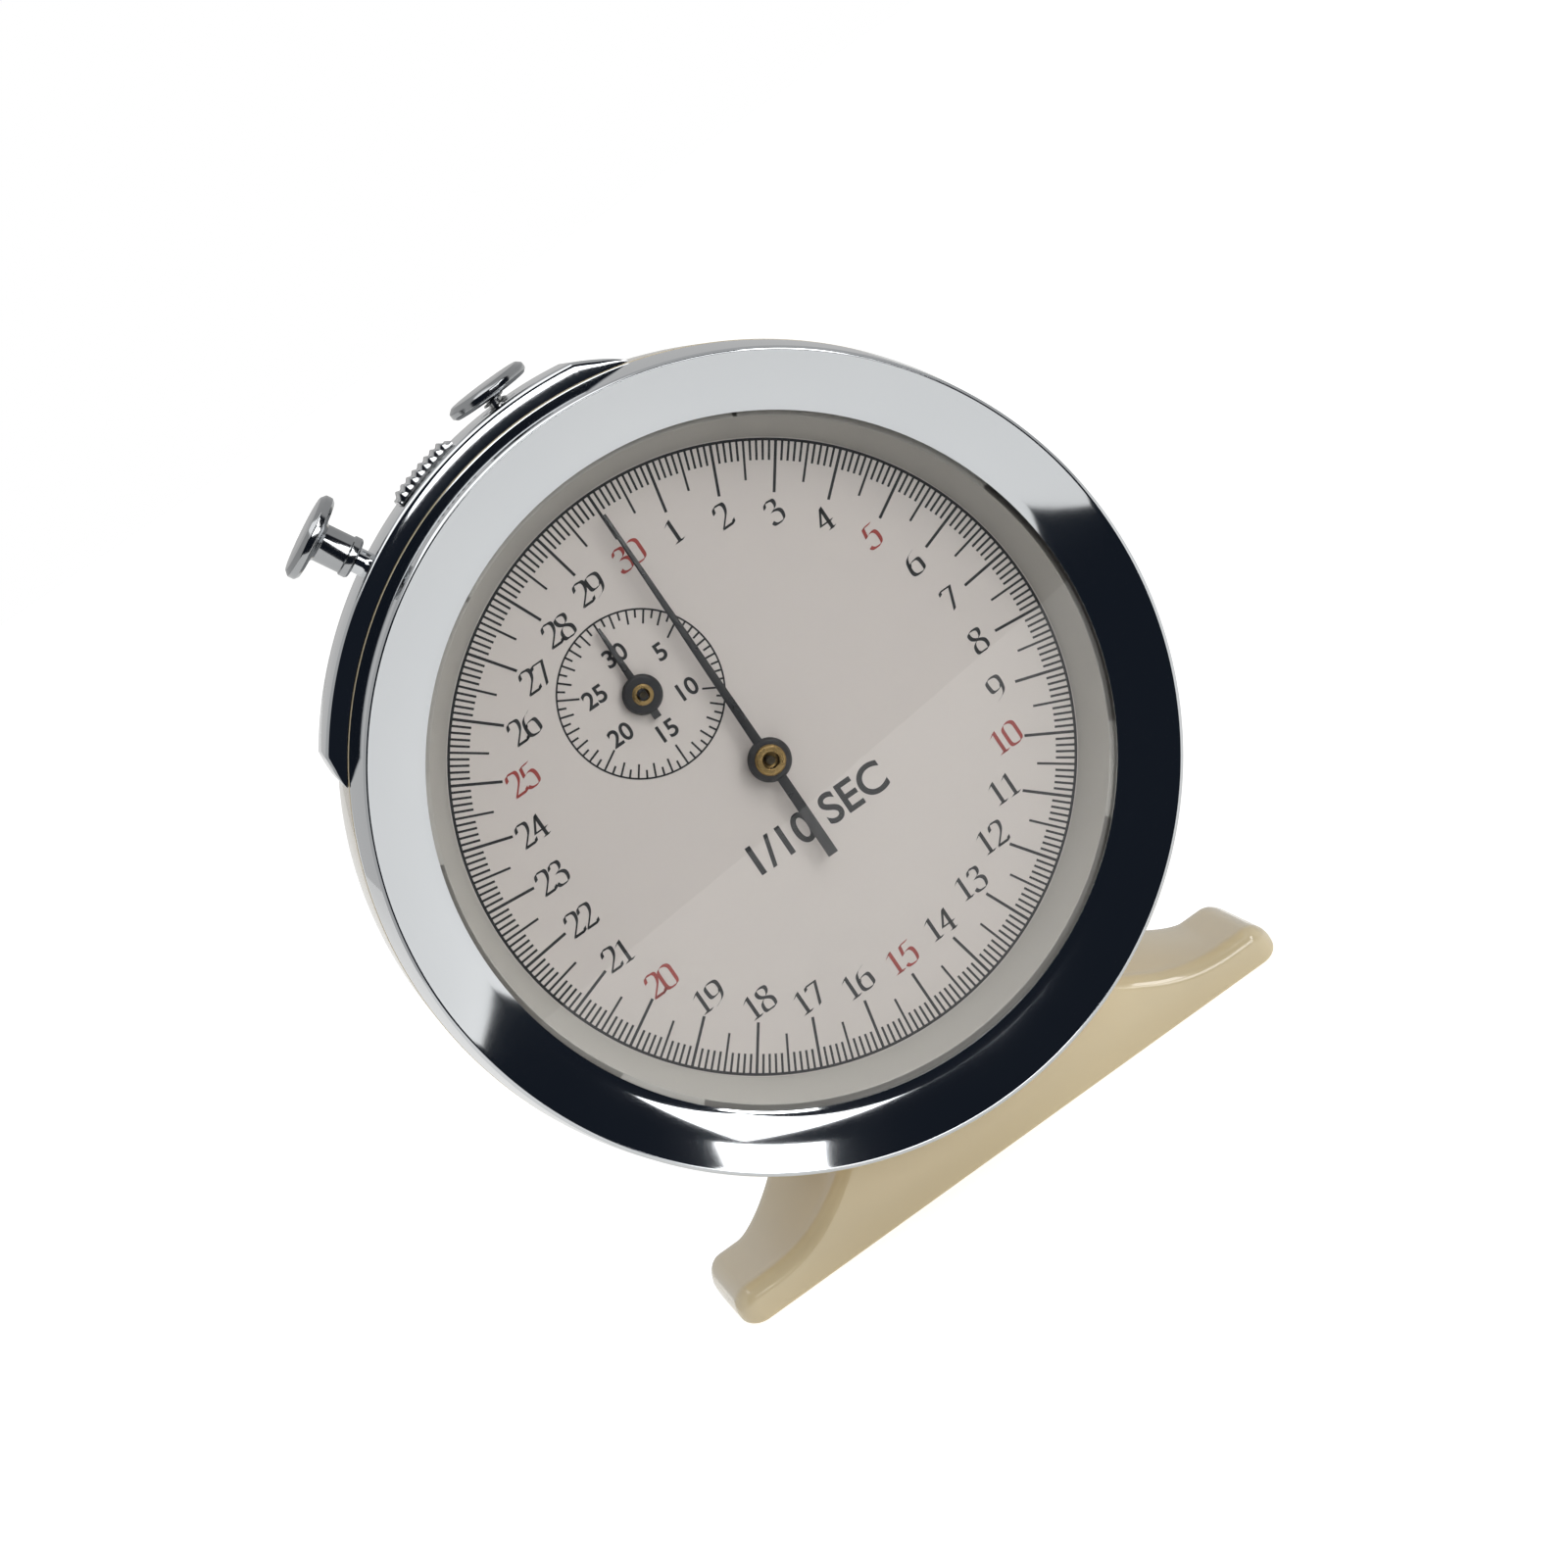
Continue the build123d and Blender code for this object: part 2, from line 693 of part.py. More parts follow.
def base_outline(horn_x, wing_height):
    """The base's outline at its front or back, up to the horns of the cradle."""
    half = base_length / 2
    flat_end = half - base_wing_flat
    horn_z = dial_height - (cradle**2 - horn_x**2) ** 0.5
    with BuildLine() as path:
        Polyline((half, 0), (half, wing_height), (flat_end, wing_height))
        Spline((flat_end, wing_height), (horn_x, horn_z), tangents=((-1, 0), (-1, 0.6)))
        Line((horn_x, horn_z), (-horn_x, horn_z))
        Spline((-horn_x, horn_z), (-flat_end, wing_height), tangents=((-1, -0.6), (-1, 0)))
        Polyline((-flat_end, wing_height), (-half, wing_height), (-half, 0), (half, 0))
    make_face(path.edges())


cradle = case_radius + fit

with BuildPart() as base_stand:
    base_front = dial_y + base_front_depth
    with BuildSketch(Plane(origin=(0, base_front, 0), x_dir=(1, 0, 0), z_dir=(0, -1, 0))):
        base_outline(base_horn_front, base_wing_front)
    with BuildSketch(Plane(origin=(0, base_front + base_depth, 0), x_dir=(1, 0, 0), z_dir=(0, -1, 0))):
        base_outline(base_horn_back, base_wing_back)
    loft()
    ends = [
        edge
        for edge in base_stand.edges()
        if abs(edge.center().X) > base_length / 2 - 0.1 and abs(edge.center().Y) < base_depth / 4
    ]
    fillet(ends, base_end_radius)
    rims = [
        edge
        for edge in base_stand.edges()
        if abs(abs(edge.center().Y) - base_depth / 2) < 0.05 and edge.center().Z > 0.3
    ]
    fillet(rims, base_edge_radius)
    disc(sweep_at, cradle, base_front_depth - 1, base_front_depth + base_depth + 1, mode=Mode.SUBTRACT)
    with BuildSketch(Plane.XY):
        with Locations((-base_screw_x, dial_y + base_screw_depth), (base_screw_x, dial_y + base_screw_depth)):
            Circle(base_screw_head_radius + 0.2)
    extrude(amount=base_screw_sink, mode=Mode.SUBTRACT)
    with BuildSketch(Plane.XY):
        with Locations((-base_screw_x, dial_y + base_screw_depth), (base_screw_x, dial_y + base_screw_depth)):
            Circle(base_screw_radius + fit)
    extrude(amount=dial_height / 2, mode=Mode.SUBTRACT)
save(base_stand, "base_stand")

with BuildPart() as base_screws:
    spots = ((-base_screw_x, dial_y + base_screw_depth), (base_screw_x, dial_y + base_screw_depth))
    with BuildSketch(Plane.XY.offset(base_screw_sink - base_screw_head)):
        with Locations(*spots):
            Circle(base_screw_head_radius)
    extrude(amount=base_screw_head)
    with BuildSketch(Plane.XY.offset(base_screw_sink)):
        with Locations(*spots):
            Circle(base_screw_radius)
    extrude(amount=base_screw_top() - base_screw_sink)
    with BuildSketch(Plane.XY.offset(base_screw_sink - base_screw_head)):
        with Locations(*spots):
            Rectangle(2 * base_screw_head_radius + 0.5, 0.8)
    extrude(amount=0.9, mode=Mode.SUBTRACT)
save(base_screws, "base_screws")

# ================================================== hands
with BuildPart() as sweep_hand:
    with BuildSketch(facing(sweep_hand_depth + hand_thickness)):
        tail_end = -sweep_hand_tail + sweep_half_width
        outline_face([
            (-sweep_half_tip, sweep_hand_length),
            (-sweep_half_width, 0),
            (-sweep_half_width, tail_end),
            (sweep_half_width, tail_end),
            (sweep_half_width, 0),
            (sweep_half_tip, sweep_hand_length),
        ])
        with Locations((0, tail_end)):
            Circle(sweep_half_width)
        Circle(sweep_boss_radius)
        Circle(sweep_collet_radius - sweep_collet_step, mode=Mode.SUBTRACT)
    extrude(amount=hand_thickness)
save(sweep_hand, "sweep_hand")

with BuildPart() as sweep_collet:
    collet_bore = sweep_arbor_radius + fit
    sleeve = sweep_collet_radius - sweep_collet_step - fit
    collet_front = sweep_hand_depth - sweep_collet_height
    disc(sweep_at, sweep_collet_radius, collet_front, sweep_hand_depth, bore=collet_bore)
    disc(sweep_at, sleeve, sweep_hand_depth, sweep_hand_depth + sweep_collet_height, bore=collet_bore)
save(sweep_collet, "sweep_collet")

with BuildPart() as minute_hand:
    with BuildSketch(facing(minute_hand_depth + hand_thickness, minute_at)):
        outline_face([
            (-minute_half_tip, minute_hand_length),
            (-minute_half_width, 0),
            (-minute_half_tail, -minute_hand_tail),
            (minute_half_tail, -minute_hand_tail),
            (minute_half_width, 0),
            (minute_half_tip, minute_hand_length),
        ])
        Circle(minute_boss_radius)
        Circle(minute_collet_radius - minute_collet_step, mode=Mode.SUBTRACT)
    extrude(amount=hand_thickness)
save(minute_hand, "minute_hand")

with BuildPart() as minute_collet:
    collet_bore = arbor_radius + fit
    sleeve = minute_collet_radius - minute_collet_step - fit
    collet_front = minute_hand_depth - minute_collet_height
    disc(minute_at, minute_collet_radius, collet_front, minute_hand_depth, bore=collet_bore)
    disc(minute_at, sleeve, minute_hand_depth, minute_hand_depth + 2 * minute_collet_height, bore=collet_bore)
save(minute_collet, "minute_collet")

# ================================================== movement frame
ring_screw_circle = front_plate_radius + 1.4
ring_screw_count = 3
ring_screw_radius = 0.8
ring_screw_length = 2.4
lever_pivot = polar(case_inner - 7.0, 142.0)
lever_post_radius = 1.0
lever_post_bite = 2.0

with BuildPart() as movement_ring:
    turned(
        (front_plate_radius - plate_ledge, dial_thickness),
        (case_inner - running, dial_thickness),
        (case_inner - running, ring_back),
        (front_plate_radius + fit, ring_back),
        (front_plate_radius + fit, front_plate_front),
        (front_plate_radius - plate_ledge, front_plate_front),
    )
    stem_holes(stem_collar_radius + stem_collar_room, case_inner - 5, case_inner + 1)
    with BuildSketch(facing(ring_back)):
        with PolarLocations(ring_screw_circle, ring_screw_count, start_angle=30):
            Circle(ring_screw_radius + fit)
    extrude(amount=ring_screw_length + 0.1, mode=Mode.SUBTRACT)
    post_hole = lever_post_radius + running
    disc(lever_pivot, post_hole, ring_back - lever_post_bite - 0.5, ring_back, mode=Mode.SUBTRACT)
save(movement_ring, "movement_ring")

with BuildPart() as movement_screws:
    with BuildSketch(facing(ring_back + screw_head)):
        with PolarLocations(ring_screw_circle, ring_screw_count, start_angle=30):
            Circle(ring_screw_radius + 1.4)
    extrude(amount=screw_head)
    with BuildSketch(facing(ring_back)):
        with PolarLocations(ring_screw_circle, ring_screw_count, start_angle=30):
            Circle(ring_screw_radius)
    extrude(amount=ring_screw_length)
save(movement_screws, "movement_screws")

cock_thickness = 1.8
cock_end_radius = 3.4
jewel_seat_radius = 1.6
pivot_spots = (
    minute_at,
    intermediate_at,
    third_at,
    second_at,
    escape_at,
    pallet_at,
    balance_at,
    crown_wheel_at,
)

with BuildPart() as front_plate:
    disc(sweep_at, front_plate_radius, front_plate_front, front_plate_back)
    disc(sweep_at, sweep_arbor_radius + running, 0, front_plate_back, mode=Mode.SUBTRACT)
    disc(minute_at, arbor_radius + running, 0, front_plate_back, mode=Mode.SUBTRACT)
    disc(barrel_at, barrel_arbor_radius + running, 0, front_plate_back, mode=Mode.SUBTRACT)
    for spot in pivot_spots[1:]:
        disc(spot, pivot_radius + running, 0, front_plate_back, mode=Mode.SUBTRACT)
    for angle in pillar_angles:
        disc(polar(pillar_circle, angle), screw_shank_radius + fit, 0, front_plate_back, mode=Mode.SUBTRACT)
save(front_plate, "front_plate")

balance_well = 11.0  # opening in the back plate round the balance
cock_foot_at = (26.3, -17.7)

with BuildPart() as back_plate:
    disc(sweep_at, back_plate_radius, back_plate_front, back_plate_back)
    disc(sweep_at, pivot_radius + running, 0, back_plate_back, mode=Mode.SUBTRACT)
    disc(barrel_at, barrel_arbor_radius + running, 0, back_plate_back, mode=Mode.SUBTRACT)
    for spot in pivot_spots[:6]:
        disc(spot, pivot_radius + running, 0, back_plate_back, mode=Mode.SUBTRACT)
    disc(crown_wheel_at, arbor_radius + running, 0, back_plate_back, mode=Mode.SUBTRACT)
    disc(click_at, click_pivot_radius + running, 0, back_plate_back, mode=Mode.SUBTRACT)
    disc(balance_at, balance_well, 0, back_plate_back, mode=Mode.SUBTRACT)
    for angle in pillar_angles:
        disc(polar(pillar_circle, angle), screw_shank_radius + fit, 0, back_plate_back, mode=Mode.SUBTRACT)
save(back_plate, "back_plate")

with BuildPart() as pillars:
    for angle in pillar_angles:
        disc(polar(pillar_circle, angle), pillar_radius, front_plate_back, back_plate_front)
        disc(polar(pillar_circle, angle), screw_shank_radius, front_plate_front, front_plate_back)
        disc(polar(pillar_circle, angle), screw_shank_radius, back_plate_front, back_plate_back)
save(pillars, "pillars")

with BuildPart() as plate_screws:
    for angle in pillar_angles:
        disc(polar(pillar_circle, angle), pillar_radius, back_plate_back, back_plate_back + screw_head)
    cock_back = back_plate_back + cock_thickness
    disc(cock_foot_at, pillar_radius, cock_back, cock_back + screw_head)
    disc(cock_foot_at, screw_shank_radius, back_plate_back, cock_back)
save(plate_screws, "plate_screws")

# ================================================== going train
with BuildPart() as barrel:
    drum_radius = barrel_module * (barrel_teeth / 2 - tooth_fall) - 0.4
    drum_wall = 0.8
    barrel_back = barrel_front + barrel_length
    disc(barrel_at, drum_radius, barrel_front, barrel_back, bore=barrel_arbor_radius + running)
    with BuildSketch(facing(barrel_back - 0.3, barrel_at)):
        teeth_face(barrel_teeth, barrel_module, barrel_phase)
        Circle(drum_radius - 0.2, mode=Mode.SUBTRACT)
    extrude(amount=1.2)
    disc(barrel_at, drum_radius - drum_wall, barrel_front + 0.5, barrel_back, mode=Mode.SUBTRACT)
save(barrel, "barrel")

with BuildPart() as barrel_cover:
    cover_radius = drum_radius - drum_wall - fit
    disc(barrel_at, cover_radius, barrel_back - 0.5, barrel_back, bore=barrel_arbor_radius + running)
save(barrel_cover, "barrel_cover")

with BuildPart() as mainspring:
    with BuildSketch(facing(barrel_back - 0.7, barrel_at)):
        spiral_face(barrel_arbor_radius + 2.2, drum_radius - drum_wall - 0.4, 9, 0.3)
    extrude(amount=barrel_length - 1.4)
save(mainspring, "mainspring")

with BuildPart() as barrel_arbor:
    disc(barrel_at, barrel_arbor_radius, front_plate_front + 0.2, winding_depth + 1.4)
    disc(barrel_at, barrel_arbor_radius + 1.0, barrel_front + 0.7, barrel_back - 0.7)
save(barrel_arbor, "barrel_arbor")

with BuildPart() as ratchet_wheel:
    bore = barrel_arbor_radius + fit
    wheel(barrel_at, ratchet_teeth, ratchet_module, 0, winding_depth, bore, crossings=0, thickness=1.0)
save(ratchet_wheel, "ratchet_wheel")

with BuildPart() as crown_wheel:
    bore = arbor_radius + fit
    wheel(crown_wheel_at, crown_wheel_teeth, ratchet_module, crown_wheel_phase, winding_depth, bore,
          crossings=0, thickness=1.0)
save(crown_wheel, "crown_wheel")

contrate_back = control_depth + winding_pinion_radius + winding_pinion_module + 0.8

with BuildPart() as crown_wheel_arbor:
    disc(crown_wheel_at, arbor_radius, front_plate_back + air, winding_depth + 1.4)
    disc(crown_wheel_at, pivot_radius, front_plate_front + 0.4, front_plate_back + air)
    contrate_tip = control_depth + winding_pinion_radius - winding_pinion_module * tooth_rise
    disc(crown_wheel_at, contrate_radius + 1.1, contrate_back - 0.8, contrate_back)
    pitch = 360.0 / contrate_teeth
    with BuildSketch(facing(contrate_back - 0.8, crown_wheel_at)):
        for index in range(contrate_teeth):
            middle = crown_angle + (index + 0.5) * pitch
            outline_face([
                polar(contrate_radius - 1.0, middle - 0.15 * pitch),
                polar(contrate_radius + 1.0, middle - 0.15 * pitch),
                polar(contrate_radius + 1.0, middle + 0.15 * pitch),
                polar(contrate_radius - 1.0, middle + 0.15 * pitch),
            ])
    extrude(amount=contrate_back - 0.8 - contrate_tip)
save(crown_wheel_arbor, "crown_wheel_arbor")

with BuildPart() as winding_pinion:
    inner_end = pinion_reach - winding_pinion_length / 2
    with BuildSketch(outward(crown_angle, control_depth, inner_end)):
        teeth_face(winding_pinion_teeth, winding_pinion_module, 0)
        Rectangle(stem_square + 2 * running, stem_square + 2 * running, mode=Mode.SUBTRACT)
    extrude(amount=winding_pinion_length)
save(winding_pinion, "winding_pinion")

with BuildPart() as click:
    click_tip = ratchet_module * (ratchet_teeth / 2 + tooth_rise) + air
    with BuildSketch(facing(winding_depth + 0.9, barrel_at)):
        with Locations(polar(click_reach, click_angle)):
            Circle(1.6)
        outline_face([
            polar(click_reach + 1.1, click_angle - 4.0),
            polar(click_reach - 0.8, click_angle + 3.5),
            polar(click_tip, click_angle + 32.0),
            polar(click_tip + 1.0, click_angle + 33.0),
        ])
    extrude(amount=0.8)
    disc(click_at, click_pivot_radius, back_plate_back - 1.2, winding_depth + 1.3)
save(click, "click")

with BuildPart() as second_wheel:
    wheel(second_at, second_teeth, second_module, second_phase, second_wheel_depth, arbor_radius + fit)
save(second_wheel, "second_wheel")

with BuildPart() as second_pinion:
    arbor(second_at, arbor_radius)
    leaves(second_at, second_pinion_teeth, barrel_module, 0, barrel_back - 1.7, barrel_back - 0.1)
save(second_pinion, "second_pinion")

with BuildPart() as third_wheel:
    wheel(third_at, third_teeth, third_module, third_phase, third_wheel_depth, arbor_radius + fit)
save(third_wheel, "third_wheel")

with BuildPart() as third_pinion:
    arbor(third_at, arbor_radius)
    leaves(third_at, third_pinion_teeth, second_module, 0, second_wheel_depth - 0.2, second_wheel_depth + 1.1)
save(third_pinion, "third_pinion")

with BuildPart() as sweep_wheel:
    wheel(sweep_at, sweep_teeth, escape_module, 0, sweep_wheel_depth, sweep_arbor_radius + fit)
save(sweep_wheel, "sweep_wheel")

with BuildPart() as sweep_arbor:
    disc(sweep_at, sweep_arbor_radius, sweep_hand_depth - sweep_collet_height, back_plate_front - air)
    disc(sweep_at, pivot_radius, back_plate_front - air, back_plate_front + plate_thickness * 0.8)
    motion_front = minute_train_depth - 0.2
    third_front = third_wheel_depth - 0.2
    leaves(sweep_at, motion_pinion_teeth, motion_module, 0, motion_front, motion_front + 1.2)
    leaves(sweep_at, sweep_pinion_teeth, third_module, 0, third_front, third_front + 1.2)
save(sweep_arbor, "sweep_arbor")

heart_small = 1.5
heart_large = 3.2

with BuildPart() as sweep_heart:
    with BuildSketch(facing(heart_depth + 1.0)):
        heart_face(heart_small, heart_large)
        Circle(sweep_arbor_radius + fit, mode=Mode.SUBTRACT)
    extrude(amount=1.0)
save(sweep_heart, "sweep_heart")

with BuildPart() as escape_wheel:
    escape_radius = 4.5
    escape_root = 3.3
    with BuildSketch(facing(escape_depth + wheel_thickness, escape_at)):
        points = []
        for index in range(escape_teeth):
            lead = escape_line + (index + 0.5) * 360.0 / escape_teeth
            points.append(polar(escape_radius, lead))
            points.append(polar(escape_root, lead + 4))
            points.append(polar(escape_root, lead + 15))
        outline_face(points)
        with PolarLocations(1.95, 4, start_angle=45):
            Circle(0.75, mode=Mode.SUBTRACT)
    extrude(amount=wheel_thickness)
    arbor(escape_at, arbor_radius)
    leaves(escape_at, escape_pinion_teeth, escape_module, escape_phase, sweep_wheel_depth - 0.2,
           sweep_wheel_depth + 1.0)
save(escape_wheel, "escape_wheel")

# ================================================== escapement and balance
roller_radius = 1.6

with BuildPart() as pallet_fork:
    lever_length = balance_reach - pallet_reach - roller_radius - 2 * air
    stone_line = escape_radius + 0.35
    with BuildSketch(facing(escape_depth + wheel_thickness, pallet_at, escape_line)):
        Circle(1.1)
        with Locations((lever_length / 2, 0)):
            Rectangle(lever_length, 0.8)
        with Locations((lever_length - 0.3, 0)):
            Rectangle(0.6, 2.2)
        with Locations((lever_length, 0)):
            Rectangle(0.5, 0.5, mode=Mode.SUBTRACT)
        for side in (-1, 1):
            stone = polar(stone_line, side * 30)
            start = stone[0] - (pallet_reach - escape_reach)
            outline_face([(0.3, 0), (-0.7, 0), (start, side * (stone[1] * side - 0.3)),
                          (start + 0.9, side * (stone[1] * side + 0.9))][::side])
    extrude(amount=wheel_thickness)
    arbor(pallet_at, 0.45)
save(pallet_fork, "pallet_fork")

balance_radius = 9.5
balance_staff_radius = 0.8
hairspring_radius = 6.6
balance_thickness = 1.2

with BuildPart() as balance_wheel:
    with BuildSketch(facing(balance_depth + balance_thickness, balance_at)):
        Circle(balance_radius)
        Circle(balance_radius - 1.2, mode=Mode.SUBTRACT)
        Rectangle(2 * balance_radius - 1.2, 1.5)
        Circle(1.7)
        Circle(balance_staff_radius + fit, mode=Mode.SUBTRACT)
    extrude(amount=balance_thickness)
save(balance_wheel, "balance_wheel")

with BuildPart() as balance_staff:
    disc(balance_at, balance_staff_radius, front_plate_back + air, back_plate_back - air)
    disc(balance_at, pivot_radius, front_plate_front + 0.4, back_plate_back + 1.2)
    disc(balance_at, roller_radius, escape_depth - 0.2, escape_depth + wheel_thickness + 0.2)
save(balance_staff, "balance_staff")

with BuildPart() as hairspring:
    with BuildSketch(facing(hairspring_depth + 0.7, balance_at)):
        spiral_face(1.2, hairspring_radius, 6, 0.16)
        with Locations(polar(hairspring_radius, 0)):
            Rectangle(0.8, 0.8)
    extrude(amount=0.7)
    stud_at = (balance_at[0] + hairspring_radius, balance_at[1])
    disc(stud_at, 0.4, hairspring_depth + 0.5, back_plate_back + 0.1)
save(hairspring, "hairspring")

with BuildPart() as balance_cock:
    with BuildSketch(facing(back_plate_back + cock_thickness, balance_at, bearing(balance_at, cock_foot_at))):
        reach = gap(balance_at, cock_foot_at)
        Circle(cock_end_radius)
        with Locations((reach, 0)):
            Circle(cock_end_radius)
        with Locations((reach / 2, 0)):
            Rectangle(reach, 2 * cock_end_radius - 1.4)
    extrude(amount=cock_thickness)
    disc(stud_at, 1.4, back_plate_back, back_plate_back + cock_thickness)
    disc(balance_at, pivot_radius + running, 0, back_plate_back + cock_thickness, mode=Mode.SUBTRACT)
    disc(cock_foot_at, screw_shank_radius + fit, 0, back_plate_back + cock_thickness, mode=Mode.SUBTRACT)
    disc(stud_at, 0.4 + fit, 0, back_plate_back + 0.2, mode=Mode.SUBTRACT)
    disc(balance_at, jewel_seat_radius, cock_back, cock_back + 0.9)
save(balance_cock, "balance_cock")

with BuildPart() as regulator:
    regulator_thickness = 0.5
    regulator_back = cock_back + 0.1 + regulator_thickness
    with BuildSketch(facing(regulator_back, balance_at, bearing(balance_at, cock_foot_at) + 180)):
        Circle(2.7)
        outline_face([(0, -0.8), (8.6, -0.25), (8.6, 0.25), (0, 0.8)])
        Circle(jewel_seat_radius + running, mode=Mode.SUBTRACT)
    extrude(amount=regulator_thickness)
save(regulator, "regulator")

# ================================================== minute counter
with BuildPart() as intermediate_wheel:
    wheel(intermediate_at, intermediate_teeth, motion_module, intermediate_phase, minute_train_depth, 0)
    arbor(intermediate_at, arbor_radius)
    leaves(intermediate_at, intermediate_pinion_teeth, minute_module, 0, minute_wheel_depth - 0.2,
           minute_wheel_depth + 1.0)
save(intermediate_wheel, "intermediate_wheel")

with BuildPart() as minute_wheel:
    wheel(minute_at, minute_teeth, minute_module, minute_phase, minute_wheel_depth, arbor_radius + fit)
save(minute_wheel, "minute_wheel")

with BuildPart() as minute_arbor:
    disc(minute_at, arbor_radius, minute_hand_depth - minute_collet_height, back_plate_front - air)
    disc(minute_at, pivot_radius, back_plate_front - air, back_plate_front + plate_thickness * 0.8)
save(minute_arbor, "minute_arbor")

with BuildPart() as minute_heart:
    with BuildSketch(facing(heart_depth + 1.0, minute_at)):
        heart_face(heart_small, heart_large)
        Circle(arbor_radius + fit, mode=Mode.SUBTRACT)
    extrude(amount=1.0)
save(minute_heart, "minute_heart")

# ================================================== levers
with BuildPart() as reset_hammer:
    foot = heart_large + air + hammer_drop
    post_at = polar(hammer_post_reach, reset_angle)
    with BuildSketch(facing(heart_depth + 1.0)):
        bar_left = 2.0
        bar_right = 5.0
        jaw_half = 3.0
        head_low = hammer_post_reach - 3.0
        head_high = hammer_post_reach + 2.0
        arm_low = minute_at[1] + foot
        arm_left = minute_at[0] - jaw_half
        outline_face([
            (-jaw_half, foot),
            (bar_right, foot),
            (bar_right, head_high),
            (-4.0, head_high),
            (-4.0, head_low),
            (bar_left, head_low),
            (bar_left, arm_low + jaw_half),
            (arm_left, arm_low + jaw_half),
            (arm_left, arm_low),
            (bar_left, arm_low),
            (bar_left, foot + 2.0),
            (-jaw_half, foot + 2.0),
        ])
    extrude(amount=1.0)
    disc(post_at, hammer_post_radius, control_depth - 0.9, heart_depth + 1.0)
save(reset_hammer, "reset_hammer")

with BuildPart() as start_lever:
    lever_front = control_depth + stem_radius + 0.3
    tip_at = polar(case_inner - 2.4, crown_angle)
    reach = gap(lever_pivot, tip_at)
    with BuildSketch(facing(lever_front + 1.0, lever_pivot, bearing(lever_pivot, tip_at))):
        Circle(2.0)
        with Locations((reach, 0)):
            Circle(0.8)
        outline_face([(0, -1.6), (reach, -0.8), (reach, 0.8), (0, 1.6)])
    extrude(amount=1.0)
    disc(lever_pivot, lever_post_radius, ring_back - lever_post_bite, lever_front + 1.6)
    disc(lever_pivot, 1.8, ring_back + 0.1, lever_front)
save(start_lever, "start_lever")
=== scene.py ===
import json
import math
import bpy
from mathutils import Matrix, Vector


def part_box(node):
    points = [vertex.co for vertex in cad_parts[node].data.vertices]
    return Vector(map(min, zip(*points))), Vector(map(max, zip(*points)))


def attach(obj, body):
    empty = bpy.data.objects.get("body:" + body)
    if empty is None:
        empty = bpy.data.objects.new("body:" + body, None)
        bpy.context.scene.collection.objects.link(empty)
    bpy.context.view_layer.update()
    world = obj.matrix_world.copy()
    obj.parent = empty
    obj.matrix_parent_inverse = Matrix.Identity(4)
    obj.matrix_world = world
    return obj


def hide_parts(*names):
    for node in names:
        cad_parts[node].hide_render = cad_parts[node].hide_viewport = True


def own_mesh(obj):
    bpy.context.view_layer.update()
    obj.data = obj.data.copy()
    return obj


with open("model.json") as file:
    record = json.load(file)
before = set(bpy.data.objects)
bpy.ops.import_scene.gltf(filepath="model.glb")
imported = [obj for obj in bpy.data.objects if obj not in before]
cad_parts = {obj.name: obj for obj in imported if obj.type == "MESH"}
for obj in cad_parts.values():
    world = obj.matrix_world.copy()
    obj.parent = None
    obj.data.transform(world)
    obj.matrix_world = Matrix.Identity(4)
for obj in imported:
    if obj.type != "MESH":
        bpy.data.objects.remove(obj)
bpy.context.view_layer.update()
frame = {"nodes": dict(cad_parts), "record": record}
mm = 0.001
print("frame loaded:", len(frame["nodes"]), "nodes")

# the dial's face and centre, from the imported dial
dialLow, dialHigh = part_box("dial")
dialCentre = Vector(((dialLow[0] + dialHigh[0]) / 2, dialLow[1], (dialLow[2] + dialHigh[2]) / 2))
scene = bpy.context.scene
scene.view_settings.view_transform = "Standard"

# the camera is aimed near the dial's centre; distances in millimetres, angles in degrees
camera = {"lens": 101.25, "sensor": 36.0, "distance": 640.4, "azimuth": 6.089, "lookDown": 9.491,
          "roll": -34.146, "aimAside": 0.1, "aimBelow": 4.65}

aim = dialCentre + Vector((camera["aimAside"] * mm, 0, -camera["aimBelow"] * mm))
turn = Matrix.Rotation(math.radians(-camera["azimuth"]), 4, "Z")
tip = Matrix.Rotation(math.radians(90 - camera["lookDown"]), 4, "X")
roll = Matrix.Rotation(math.radians(camera["roll"]), 4, "Z")
stand = turn @ tip @ roll
cameraData = bpy.data.cameras.new("camera")
cameraData.lens = camera["lens"]
cameraData.sensor_width = camera["sensor"]
cameraData.clip_start = 0.01
cameraObject = bpy.data.objects.new("camera", cameraData)
scene.collection.objects.link(cameraObject)
lineOfSight = stand.to_3x3() @ Vector((0, 0, -1))
cameraObject.matrix_world = Matrix.Translation(aim - lineOfSight * camera["distance"] * mm) @ stand
scene.camera = cameraObject


def clearSelection():
    bpy.ops.object.select_all(action="DESELECT")


def take(piece):
    clearSelection()
    piece.select_set(True)
    bpy.context.view_layer.objects.active = piece


def applyPlace(piece):
    take(piece)
    bpy.ops.object.transform_apply(location=True, rotation=True, scale=True)


def applyModifiers(piece):
    take(piece)
    for modifier in list(piece.modifiers):
        bpy.ops.object.modifier_apply(modifier=modifier.name)


# the materials
def newMaterial(name):
    material = bpy.data.materials.new(name)
    material.use_nodes = True
    return material, material.node_tree, material.node_tree.nodes["Principled BSDF"]


def node(tree, kind, **values):
    made = tree.nodes.new(kind)
    for key, value in values.items():
        setattr(made, key, value)
    return made


